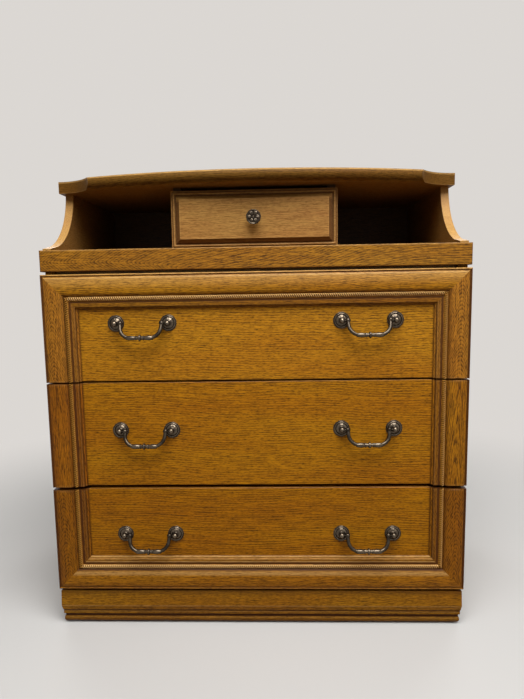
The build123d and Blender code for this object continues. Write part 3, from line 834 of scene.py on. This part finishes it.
PATCH_RATE, GRAIN_RATE = 90, 900
WEAR_SHARE, PATCH_SHARE = 0.5, 0.5
BRONZE_ROUGHNESS, WORN_POLISH, GRAIN_DULL = 0.24, 0.06, 0.1
BRONZE_METAL, WORN_METAL = 0.8, 0.2
BRONZE_GRAIN, BRONZE_BUMP = 0.08 * MM, 0.3
BRONZE_GLOSS, BRONZE_GLOSS_TINT = 0.15, (0.3, 0.27, 0.24)
METAL_CREASE = 50
ROSETTE_RINGS = line(12.7, 1.3), line(15.4, 0.8, 0.3)            # by the distance from the axis
ROSETTE_LEAVES = strip(6.6, 10.0, 0.9, 0.4)
ROSETTE_FACE, BALL_FRONT, POST_WEAR = up_to(5, 6.5), beyond(11, 16, 0.6), 0.12
KNOB_FRONT = beyond(19.9, 20.7, 0.26)
BAIL_HOLLOWS = line(2.9, 1.2), line(6.1, 0.9), line(8.9, 0.9), line(24.5, 1.5, 0.6)
BAIL_ARMS, BAIL_HOLLOW_DARK, BAIL_WEAR = beyond(18, 34, 0.8), 0.9, 0.5


def bronze(name, colours, wear):
    """Darkened bronze; wear is a function that says where it is rubbed bright."""
    finish = Finish(name)
    patches = finish.speckle(PATCH_RATE) - 0.5
    grains = finish.speckle(GRAIN_RATE)
    worn = (wear(finish) * WEAR_SHARE + patches * PATCH_SHARE).clamped()
    return finish.close(finish.shader(
        Base_Color=finish.mix(worn, colours.bronze_dark, colours.bronze_worn),
        Roughness=BRONZE_ROUGHNESS - worn * WORN_POLISH + (grains - 0.5) * GRAIN_DULL,
        Metallic=BRONZE_METAL + worn * WORN_METAL,
        Normal=finish.bump(grains, BRONZE_GRAIN, BRONZE_BUMP),
        Specular_IOR_Level=BRONZE_GLOSS, Specular_Tint=BRONZE_GLOSS_TINT))


def rosette_wear(handle_x, level, face, post_spacing):
    """Rubbed on the raised ring, on the leaves and on the front of the ball."""
    def wear(finish):
        across = abs(abs(abs(finish.x) - handle_x) - post_spacing / 2) / MM
        upright = (finish.z - level) / MM
        radius = (across * across + upright * upright) ** 0.5
        proud = (face - finish.y) / MM
        rosette = laid(radius, *ROSETTE_RINGS).most(ROSETTE_LEAVES(radius))
        return rosette * ROSETTE_FACE(proud) + BALL_FRONT(proud) + POST_WEAR
    return wear


def knob_wear(face):
    """Rubbed on the petals, the rim and the boss."""
    return lambda finish: KNOB_FRONT((face - finish.y) / MM)


def bail_wear(handle_x):
    """Rubbed on the swellings of the grip, dark beside its collars and its middle disc."""
    def wear(finish):
        out = abs(abs(finish.x) - handle_x) / MM
        hollow = laid(out, *BAIL_HOLLOWS).least(1)
        return (1 - BAIL_ARMS(out)) * (1 - hollow * BAIL_HOLLOW_DARK) * BAIL_WEAR
    return wear


# Handle posts and knob. A turned section is a row of radii and heights in millimetres

ROSETTE = (
    (14.5, 1.0), (14.2, 1.5), (13.5, 1.7), (12.9, 1.3), (12.6, 1.4), (12.2, 2.5), (11.5, 2.9),
    (10.8, 2.6), (10.5, 1.8), (10.1, 1.8), (9.6, 2.8), (8.0, 4.2), (6.4, 5.0), (5.4, 5.2),
    (5.0, 5.8), (4.3, 6.3), (3.9, 7.2), (3.8, 9.0), (2.0, 9.2))
ROSETTE_RADIUS = 14.5 * MM                          # before it is scaled to its size
SIDES_PER_LEAF = 3
LEAF_SINKS = ((9.6, 0.35), (8.0, 0.6), (6.4, 0.4))  # radius, and how far the veins are sunk
ANGLE_SLACK, RADIUS_SLACK, END_SLACK = 1, 0.2 * MM, 0.01 * MM
BALL_SIDES, BALL_RINGS = 20, 12
BALL = {"radius": 5.5, "proud": 11, "front": 4.6, "narrowed": 0.72, "raised": 0.35}
PIN_RADIUS, PIN_LENGTH, PIN_SIDES = 1.5 * MM, 12.8 * MM, 16
PIN_RIM, PIN_DISH = 0.3 * MM, 0.2 * MM
KNOB = (
    (9.0, 1.4), (8.5, 2.4), (7.2, 3.0), (6.2, 4.2), (5.4, 8.0), (5.8, 13.0), (8.5, 15.6),
    (12.5, 16.5), (14.2, 17.8), (14.5, 19.4), (14.2, 20.8), (13.4, 21.5), (12.7, 21.2),
    (12.2, 20.2), (8.0, 19.8), (4.0, 19.8))
KNOB_RADIUS, KNOB_SIDES = 14.5 * MM, 32
PETAL_SIDES, PETAL_RINGS = 16, 10
PETAL_OUT, PETAL_PROUD = 8 * MM, 20 * MM
PETAL_SIZE = (4.6 * MM, 3.9 * MM, 1.8 * MM)
PETAL_CREASE_FROM, PETAL_CREASE_WIDTH, PETAL_CREASE = 20.6 * MM, 0.4 * MM, 0.6 * MM
BOSS = {"radius": 2.4, "proud": 21.2, "front": 1.8, "narrowed": 0.7, "raised": -0.7}


def turned(name, sides, section):
    """A round piece on the origin, raised to the front through a section and left open to edit."""
    radius, height = section[0][0], 0
    deselect()
    bpy.ops.mesh.primitive_circle_add(
        vertices=sides, radius=radius * MM, fill_type="NGON", rotation=(QUARTER_TURN, 0, 0))
    piece = settled(name)
    edit(piece)
    for next_radius, next_height in section:
        narrower = next_radius / radius
        bpy.ops.mesh.extrude_region_move()
        bpy.ops.transform.resize(value=(narrower, 1, narrower))
        bpy.ops.transform.translate(value=(0, (height - next_height) * MM, 0))
        radius, height = next_radius, next_height
    return piece


def on_ring(radius, step):
    """A test for the vertices of one ring that stand at every step of angle, in degrees."""
    def test(place):
        angle = math.degrees(math.atan2(place.z, place.x))
        near = abs((angle + step / 2) % step - step / 2) < ANGLE_SLACK
        return near and abs(math.hypot(place.x, place.z) - radius) < RADIUS_SLACK
    return test


def buttoned_ball(name, radius, proud, front, narrowed, raised):
    """A ball before the origin, in millimetres, with a button raised on its front or sunk in it."""
    deselect()
    bpy.ops.mesh.primitive_uv_sphere_add(
        segments=BALL_SIDES, ring_count=BALL_RINGS, radius=radius * MM,
        location=(0, -proud * MM, 0), rotation=(QUARTER_TURN, 0, 0))
    ball = settled(name)
    edit(ball)
    pick(ball, lambda place: place.y < -(proud + front) * MM)
    bpy.ops.mesh.extrude_region_move()
    bpy.ops.transform.resize(value=(narrowed, 1, narrowed))
    bpy.ops.transform.translate(value=(0, -raised * MM, 0))
    leave()
    subdivide(ball)
    return ball


def make_post(sizes):
    """One post: a leafy rosette, a ball with a button, and the pin that the bail turns on."""
    rosette = turned("post", SIDES_PER_LEAF * sizes.rosette_leaves, ROSETTE)
    bpy.ops.mesh.select_mode(type="VERT")
    for radius, sink in LEAF_SINKS:
        pick(rosette, on_ring(radius * MM, 360 / sizes.rosette_leaves), "verts")
        bpy.ops.transform.translate(value=(0, sink * MM, 0))
    leave()
    scale = sizes.rosette_radius / ROSETTE_RADIUS
    rosette.data.transform(Matrix.Diagonal((scale, 1, scale, 1)))
    subdivide(rosette)
    ball = buttoned_ball("post_ball", **BALL)
    deselect()
    bpy.ops.mesh.primitive_cylinder_add(
        vertices=PIN_SIDES, radius=PIN_RADIUS, depth=PIN_LENGTH,
        location=(PIN_LENGTH / 2, -BALL["proud"] * MM, 0), rotation=(0, QUARTER_TURN, 0))
    pin = settled("post_pin")
    edit(pin)
    pick(pin, lambda place: place.x > PIN_LENGTH - END_SLACK)
    bpy.ops.mesh.inset(thickness=PIN_RIM)
    bpy.ops.transform.translate(value=(-PIN_DISH, 0, 0))
    leave()
    return joined("post", [rosette, ball, pin])


class CHEST_OT_handle_posts(bpy.types.Operator):
    """Cast the rosettes and balls that the bails hang from"""

    bl_idname = "chest.handle_posts"
    bl_label = "Handle posts"

    def execute(self, context):
        colours, sizes = context.scene.chest_colours, context.scene.chest_sizes
        pattern = make_post(sizes)
        outward(pattern)
        smooth(pattern, METAL_CREASE)
        about = Matrix.Rotation(math.pi, 4, "Y")
        for drawer in DRAWERS:
            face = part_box(f"{drawer}_handle_posts")[1].y
            posts = []
            for joint in frame["joints"]:
                if joint["parent"] != f"{drawer}_drawer":
                    continue
                handle_x, _, level = joint["pos_m"]
                for end in (-1, 1):
                    post_x = handle_x + end * sizes.post_spacing / 2
                    place = Matrix.Translation((post_x, face, level))
                    posts.append(copied(pattern, place @ about if end > 0 else place))
            piece = joined(f"{drawer}_posts", posts)
            wear = rosette_wear(abs(handle_x), level, face, sizes.post_spacing)
            metal = bronze(f"{drawer}_post_bronze", colours, wear)
            settle_piece(piece, metal, f"{drawer}_drawer", f"{drawer}_handle_posts")
        bpy.data.objects.remove(pattern)
        return {"FINISHED"}


def make_knob(sizes):
    """A turned knob whose dished head carries creased petals round a domed boss."""
    head = turned("knob", KNOB_SIDES, KNOB)
    leave()
    subdivide(head)
    deselect()
    bpy.ops.mesh.primitive_uv_sphere_add(
        segments=PETAL_SIDES, ring_count=PETAL_RINGS, radius=1,
        location=(PETAL_OUT, -PETAL_PROUD, 0), scale=PETAL_SIZE, rotation=(QUARTER_TURN, 0, 0))
    petal = settled("petal")
    edit(petal, "VERT")
    pick(petal, lambda at: at.y < -PETAL_CREASE_FROM and abs(at.z) < PETAL_CREASE_WIDTH, "verts")
    bpy.ops.transform.translate(value=(0, PETAL_CREASE, 0))
    leave()
    subdivide(petal)
    turns = [math.tau * number / sizes.petals for number in range(1, sizes.petals)]
    petals = [petal, *(copied(petal, Matrix.Rotation(turn, 4, "Y")) for turn in turns)]
    boss = buttoned_ball("boss", **BOSS)
    return joined("gallery_flower_knob", [head, *petals, boss])


class CHEST_OT_flower_knob(bpy.types.Operator):
    """Cast the flower knob of the gallery drawer"""

    bl_idname = "chest.flower_knob"
    bl_label = "Flower knob"

    def execute(self, context):
        colours, sizes = context.scene.chest_colours, context.scene.chest_sizes
        low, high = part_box("gallery_knob")
        knob = make_knob(sizes)
        scale = sizes.knob_radius / KNOB_RADIUS
        place = Matrix.Translation(((low.x + high.x) / 2, high.y, (low.z + high.z) / 2))
        knob.data.transform(place @ Matrix.Diagonal((scale, 1, scale, 1)))
        outward(knob)
        smooth(knob, METAL_CREASE)
        metal = bronze("knob_bronze", colours, knob_wear(high.y))
        settle_piece(knob, metal, "gallery_drawer", "gallery_knob")
        return {"FINISHED"}


# Bails, screws and glides

STEEL_RATE, STEEL_ROUGHNESS, STEEL_MARKS = 700, 0.28, 0.2
GLIDE_RATE, GLIDE_ROUGHNESS, GLIDE_DULL = 500, 0.45, 0.2
GLIDE_GRAIN, GLIDE_BUMP = 0.1 * MM, 0.3


def steel(name, colours):
    """Plated steel with fine marks."""
    finish = Finish(name)
    marks = finish.speckle(STEEL_RATE, detail=3)
    colour = finish.mix(marks, colours.steel_dark, colours.steel_light)
    return finish.close(finish.shader(
        Base_Color=colour, Roughness=STEEL_ROUGHNESS + marks * STEEL_MARKS, Metallic=1.0))


def glide_plastic(name, colours):
    """Brown moulded plastic with a fine grain."""
    finish = Finish(name)
    grain = finish.speckle(GLIDE_RATE)
    colour = finish.mix(grain, colours.glide_dark, colours.glide_light)
    return finish.close(finish.shader(
        Base_Color=colour, Roughness=GLIDE_ROUGHNESS + grain * GLIDE_DULL,
        Normal=finish.bump(grain, GLIDE_GRAIN, GLIDE_BUMP)))


class CHEST_OT_metal_fittings(bpy.types.Operator):
    """Finish the bails, screws and foot glides"""

    bl_idname = "chest.metal_fittings"
    bl_label = "Bails, screws and glides"

    def execute(self, context):
        colours = context.scene.chest_colours
        swing = next(joint for joint in frame["joints"] if joint["name"].endswith("_bail_swing"))
        metal = bronze("bail_bronze", colours, bail_wear(abs(swing["pos_m"][0])))
        plated = steel("plated_steel", colours)
        for node in frame["nodes"]:
            if node.endswith("_bail"):
                dress(node, metal)
            elif node.endswith(("_screws", "_screw")):
                dress(node, plated)
        dress("foot_glides", glide_plastic("glide_plastic", colours))
        return {"FINISHED"}


# Boards

OAK_ROUGHNESS, OAK_GLOSS, SHELF_GLOSS = 0.46, 0.18, 0.06
FRONT_SEEDS = {"top": 3.1, "middle": 17.4, "bottom": 29.8}
STILE_SEED, RAIL_SEED = 6, 11  # added to a front's seed
PANEL_PITH = 80 * MM           # below the panel's foot
STILE_PITH = 21 * MM           # in from the stile's outer edge
RAIL_PITH = 50 * MM            # below the rail's middle
PANEL_FIGURE = {"rings": 0.48, "spacing": 4.6 * MM}
STILE_FIGURE = {"rings": 0.6, "core": 6 * MM, "paired": True}
RAIL_FIGURE = {"rings": 0.4, "dashes": 0.5, "climb": 0.05}
PANELS = {
    "top": {"tone": 0.95, "flow": 46},
    "middle": {"tone": 0.86, "flow": 34, "hue": (1, 0.95, 0.5)},
    "bottom": {"tone": 0.8, "flow": 22, "hue": (1, 0.92, 0.3)},
}
# The right stile of each pair is painted lighter, as light from the right
STILES = {
    "top": {"tone": 0.79, "climb": 0.45, "hue": (1, 0.98, 2.5), "uneven": 0.05},
    "middle": {"tone": 0.7, "climb": 0.07, "hue": (0.96, 0.81, 0.8), "uneven": 0.18},
    "bottom": {"tone": 0.58, "climb": 0.4, "hue": (0.98, 0.81, 0.6), "uneven": 0.06},
}
RAILS = {"top": {"tone": 0.88}, "bottom": {"tone": 0.82, "hue": (1, 0.92, 1)}}
COUNTER = {
    "climb": lambda along: along * -0.38 + along * along * 0.4,
    "lean": lambda along: along.ramp(-0.24, 0.1) * -0.05 - 0.004,
    "core": 3 * MM, "rings": 0.6, "dashes": 0.45, "tone": 0.71, "hue": (1, 1, 2),
    "spacing": 4.4 * MM, "wander": 1.3,
}
PLINTH_TONE = 0.72
PLAIN_ROUGHNESS = 0.6
PLAIN_FIGURE = {"rings": 0.5, "dashes": 0.2, "pores": 0.15}
PLAIN_RINGS = {"pale": 4 * MM, "ply": 2.4 * MM}
FIXED_BOARDS = (  # node, grain, where its pith line lies, seed and stock
    ("gallery_drawer_runners", "y", 0.72, 33.8, "pale"), ("drawer_runners", "y", 0.3, 37.6, "pale"),
    ("top_stretchers", "x", 0.66, 41.1, "pale"), ("bottom_panel", "x", 0.04, 43.9, "pale"),
    ("plinth_back", "x", 0.02, 47.3, "pale"), ("plinth_blocks", "x", 0.02, 49.5, "pale"),
    ("back_panel", "z", 0.1, 53.7, "ply"),
)


def stock_colours(colours, stock):
    """Light and dark colour of a stock of wood, by the start of their names."""
    return getattr(colours, f"{stock}_light"), getattr(colours, f"{stock}_dark")


def oak(scene, node, grain, pith, seed, stain=None, stock="oak", gloss=OAK_GLOSS, **own):
    """Dresses a board in stained oak."""
    colours = scene.chest_colours
    own.setdefault("spacing", scene.chest_sizes.ring_spacing)
    dress(node, wood(
        f"{node}_oak", *stock_colours(colours, stock), Timber(grain, pith, seed, **own),
        OAK_ROUGHNESS, gloss, stain, colours))


def plain(scene, node, grain, pith, seed, stock="pale"):
    """Dresses a board in unstained wood."""
    timber = Timber(grain, pith, seed, PLAIN_RINGS[stock], **PLAIN_FIGURE)
    dress(node, wood(
        f"{node}_wood", *stock_colours(scene.chest_colours, stock), timber,
        PLAIN_ROUGHNESS, OAK_GLOSS))


def frame_reach():
    """Half the width of the drawer frames, and of the opening inside them."""
    low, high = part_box("top_frame_rail")
    return high.x, high.x - (high.z - low.z)


class CHEST_OT_drawer_fronts(bpy.types.Operator):
    """Stain the panels, stiles and rails of the wide drawers, with painted shade and painted
    highlights
    """

    bl_idname = "chest.drawer_fronts"
    bl_label = "Drawer fronts"

    def execute(self, context):
        scene = context.scene
        half, opening = frame_reach()
        for drawer, seed in FRONT_SEEDS.items():
            low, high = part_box(f"{drawer}_front_panel")
            oak(scene, f"{drawer}_front_panel", "x", low.z - PANEL_PITH, seed,
                panel_dust_and_shade(low, high, opening), **PANEL_FIGURE, **PANELS[drawer])
            low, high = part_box(f"{drawer}_frame_stiles")
            oak(scene, f"{drawer}_frame_stiles", "z", half - STILE_PITH, seed + STILE_SEED,
                stile_glaze_and_painted_light(low, high, half), **STILE_FIGURE, **STILES[drawer])
        for drawer in RAILS:
            low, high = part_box(f"{drawer}_frame_rail")
            edge = high.z if RAIL_SIDE[drawer] > 0 else low.z
            oak(scene, f"{drawer}_frame_rail", "x", (low.z + high.z) / 2 - RAIL_PITH,
                FRONT_SEEDS[drawer] + RAIL_SEED, rail_glaze_and_painted_light(edge, drawer),
                **RAIL_FIGURE, **RAILS[drawer])
        return {"FINISHED"}


class CHEST_OT_carcass_boards(bpy.types.Operator):
    """Stain the counter board, the plinth and the side panels, with painted shade and painted
    highlights
    """

    bl_idname = "chest.carcass_boards"
    bl_label = "Counter, plinth and sides"

    def execute(self, context):
        scene = context.scene
        low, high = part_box("counter_board")
        oak(scene, "counter_board", "x", pith=(low.z + high.z) / 2, seed=51.7,
            stain=counter_shade_and_highlight(low, high, frame_reach()[0]), **COUNTER)
        low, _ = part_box("plinth_front")
        for node, grain, seed in (("plinth_front", "x", 71.2), ("plinth_sides", "y", 77.6)):
            oak(scene, node, grain, low.z - 40 * MM, seed, plinth_glaze_and_painted_light(low.z), tone=PLINTH_TONE)
        oak(scene, "side_panel_left", "z", pith=-0.36, seed=82.5)
        oak(scene, "side_panel_right", "z", pith=0.36, seed=84.5)
        return {"FINISHED"}


class CHEST_OT_gallery_boards(bpy.types.Operator):
    """Stain the shelf, the scooped sides, the inner boards and the drawer front of the gallery,
    with painted shade and painted highlights
    """

    bl_idname = "chest.gallery_boards"
    bl_label = "Gallery boards"

    def execute(self, context):
        scene = context.scene
        low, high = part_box("top_shelf")
        oak(scene, "top_shelf", "x", pith=low.z - 50 * MM, seed=63.9,
            stain=shelf_ends_and_painted_light(low.z, high.z), stock="shelf", gloss=SHELF_GLOSS)
        for side, seed in (("left", 90.3), ("right", 92.3)):
            low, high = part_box(f"gallery_side_{side}")
            faces = sorted((abs(low.x), abs(high.x)))
            oak(scene, f"gallery_side_{side}", "y", pith=0.7, seed=seed,
                stain=side_sheen_and_shade(*faces), stock="grey", climb=0.2)
        # Dark inner boards, which paint the shade inside the pigeonholes
        oak(scene, "gallery_partitions", "y", pith=0.68, seed=97.7, stock="inside")
        oak(scene, "gallery_back", "x", pith=0.76, seed=57.9, stock="inside")
        low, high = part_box("gallery_drawer_front")
        oak(scene, "gallery_drawer_front", "x", pith=low.z - 30 * MM, seed=5.9,
            stain=gallery_front_glaze_and_painted_light(low, high), stock="grey", dashes=0.5)
        return {"FINISHED"}


class CHEST_OT_plain_boards(bpy.types.Operator):
    """Finish the unstained boards of the drawer boxes and the carcass"""

    bl_idname = "chest.plain_boards"
    bl_label = "Plain boards"

    def execute(self, context):
        scene = context.scene
        for number, drawer in enumerate(DRAWERS):
            low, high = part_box(f"{drawer}_box_sides")
            middle = (low.z + high.z) / 2
            plain(scene, f"{drawer}_box_sides", "y", middle, 3.3 + number)
            plain(scene, f"{drawer}_box_front", "x", middle, 7.1 + number)
            plain(scene, f"{drawer}_box_back", "x", middle + 20 * MM, 11.9 + number)
            plain(scene, f"{drawer}_box_bottom", "x", low.z - 30 * MM, 19.7 + number, "ply")
        low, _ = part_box("gallery_box_sides")
        plain(scene, "gallery_box_sides", "y", low.z + 30 * MM, 23.5)
        plain(scene, "gallery_box_back", "x", low.z + 50 * MM, 27.2)
        plain(scene, "gallery_box_bottom", "x", low.z - 30 * MM, 31.4, "ply")
        for board in FIXED_BOARDS:
            plain(scene, *board)
        return {"FINISHED"}


# Stage, in metres

SENSOR_WIDTH = 36  # in millimetres, as the lens
LAMPS = (  # name, place, aim, width and the name of its power
    ("key_lamp", (0.25, -1.15, 2.45), (0, -0.15, 0.5), 1.9, "key_power"),
    ("fill_lamp", (2.0, -1.6, 1.3), (0, 0, 0.45), 1.4, "fill_power"),
    ("back_lamp", (-1.7, 2.0, 2.0), (0, 0.2, 0.45), 1.4, "back_power"),
    ("back_lamp", (1.7, 2.0, 2.0), (0, 0.2, 0.45), 1.4, "back_power"),
)
FLOOR_RADIUS, FLOOR_SIDES = 12, 96
FLOOR_FADE = 0.7, 1.6         # where the floor runs out into the backdrop
FLOOR_RATE, FLOOR_SHADE = 1.5, 0.97
FLOOR_ROUGHNESS, FLOOR_GLOSS = 0.8, 0.1


def add_lamp(name, place, aim, width, power):
    deselect()
    bpy.ops.object.light_add(type="AREA", location=place)
    lamp = bpy.context.object
    lamp.name = name
    lamp.data.shape = "DISK"
    lamp.data.size = width
    lamp.data.energy = power
    lamp.visible_camera = False
    lamp.rotation_mode = "QUATERNION"
    lamp.rotation_quaternion = (Vector(aim) - Vector(place)).to_track_quat("-Z", "Y")


def add_camera(view):
    level = math.cos(view.pitch)
    right = Vector((math.cos(view.yaw), math.sin(view.yaw), 0))
    ahead = Vector((-math.sin(view.yaw) * level, math.cos(view.yaw) * level, -math.sin(view.pitch)))
    up = right.cross(ahead)
    across = right * math.cos(view.roll) + up * math.sin(view.roll)
    upright = up * math.cos(view.roll) - right * math.sin(view.roll)
    deselect()
    bpy.ops.object.camera_add()
    camera = bpy.context.object
    camera.name = "camera"
    facing = Matrix((across, upright, -ahead)).transposed().to_4x4()
    camera.matrix_world = Matrix.Translation(view.place) @ facing
    camera.data.lens = view.lens
    camera.data.sensor_width = SENSOR_WIDTH
    bpy.context.scene.camera = camera


def pale_world(sky, strength, backdrop):
    """Soft light from all round, shown pale to the camera and in reflections."""
    world = bpy.data.worlds.new("studio")
    world.use_nodes = True
    nodes = Nodes(world.node_tree)
    light = nodes.add("Background", None, sky, strength)
    shown = nodes.add("Background", None, backdrop, 1.0)
    nodes.add("OutputWorld", None, nodes.add("MixShader", None, nodes.seen(), light, shown))
    bpy.context.scene.world = world


def floor_finish(colour, bounce, backdrop):
    """Pale floor that keeps the shadow near the chest and runs out into the backdrop."""
    finish = Finish("pale_floor")
    x, y = finish.x, finish.y
    shade = finish.noise(x * FLOOR_RATE, y * FLOOR_RATE, 0.0)
    tint = finish.mix(shade, [share * FLOOR_SHADE for share in colour], colour)
    seen = finish.seen()
    tint = finish.mix(seen, bounce, tint)
    far = ((x * x + y * y) ** 0.5).ramp(*FLOOR_FADE)
    glow = finish.add("Emission", None, backdrop, 1.0)
    ground = finish.shader(
        Base_Color=tint, Roughness=FLOOR_ROUGHNESS, Specular_IOR_Level=FLOOR_GLOSS)
    return finish.close(finish.add("MixShader", None, far * seen, ground, glow))


class CHEST_OT_stage(bpy.types.Operator):
    """Lay the floor, hang the lamps and set up the camera"""

    bl_idname = "chest.stage"
    bl_label = "Floor, lamps and camera"

    def execute(self, context):
        scene = context.scene
        colours, sizes = scene.chest_colours, scene.chest_sizes
        deselect()
        bpy.ops.mesh.primitive_circle_add(
            vertices=FLOOR_SIDES, radius=FLOOR_RADIUS, fill_type="NGON")
        floor = settled("floor")
        clothe(floor, floor_finish(colours.floor, colours.floor_bounce, colours.backdrop))
        for name, place, aim, width, power in LAMPS:
            add_lamp(name, place, aim, width, getattr(sizes, power))
        pale_world(colours.sky, sizes.sky, colours.backdrop)
        add_camera(scene.chest_view)
        scene.view_settings.view_transform = "Standard"
        return {"FINISHED"}


# Panel and registration

class CHEST_PT_panel(bpy.types.Panel):
    """Lists the steps that dress the chest"""

    bl_idname = "CHEST_PT_panel"
    bl_label = "Oak chest of drawers"
    bl_space_type = "VIEW_3D"
    bl_region_type = "UI"
    bl_category = "Chest"

    def draw(self, context):
        for step in STEPS:
            self.layout.operator(step.bl_idname)
        for name, group in GROUPS.items():
            box = self.layout.box()
            for key in group.__annotations__:
                box.prop(getattr(context.scene, name), key)


STEPS = (CHEST_OT_drawer_fronts, CHEST_OT_carcass_boards, CHEST_OT_gallery_boards,
         CHEST_OT_plain_boards, CHEST_OT_rope_beads, CHEST_OT_handle_posts,
         CHEST_OT_flower_knob, CHEST_OT_metal_fittings, CHEST_OT_stage)
GROUPS = {"chest_sizes": ChestSizes, "chest_colours": ChestColours, "chest_view": ChestView}


def register():
    for cls in (*GROUPS.values(), *STEPS, CHEST_PT_panel):
        bpy.utils.register_class(cls)
    for name, group in GROUPS.items():
        setattr(bpy.types.Scene, name, PointerProperty(type=group))


def unregister():
    for name in GROUPS:
        delattr(bpy.types.Scene, name)
    for cls in reversed((*GROUPS.values(), *STEPS, CHEST_PT_panel)):
        bpy.utils.unregister_class(cls)


def main():
    register()
    bpy.ops.chest.drawer_fronts()
    bpy.ops.chest.carcass_boards()
    bpy.ops.chest.gallery_boards()
    bpy.ops.chest.plain_boards()
    bpy.ops.chest.rope_beads()
    bpy.ops.chest.handle_posts()
    bpy.ops.chest.flower_knob()
    bpy.ops.chest.metal_fittings()
    bpy.ops.chest.stage()


if __name__ == "__main__":
    main()
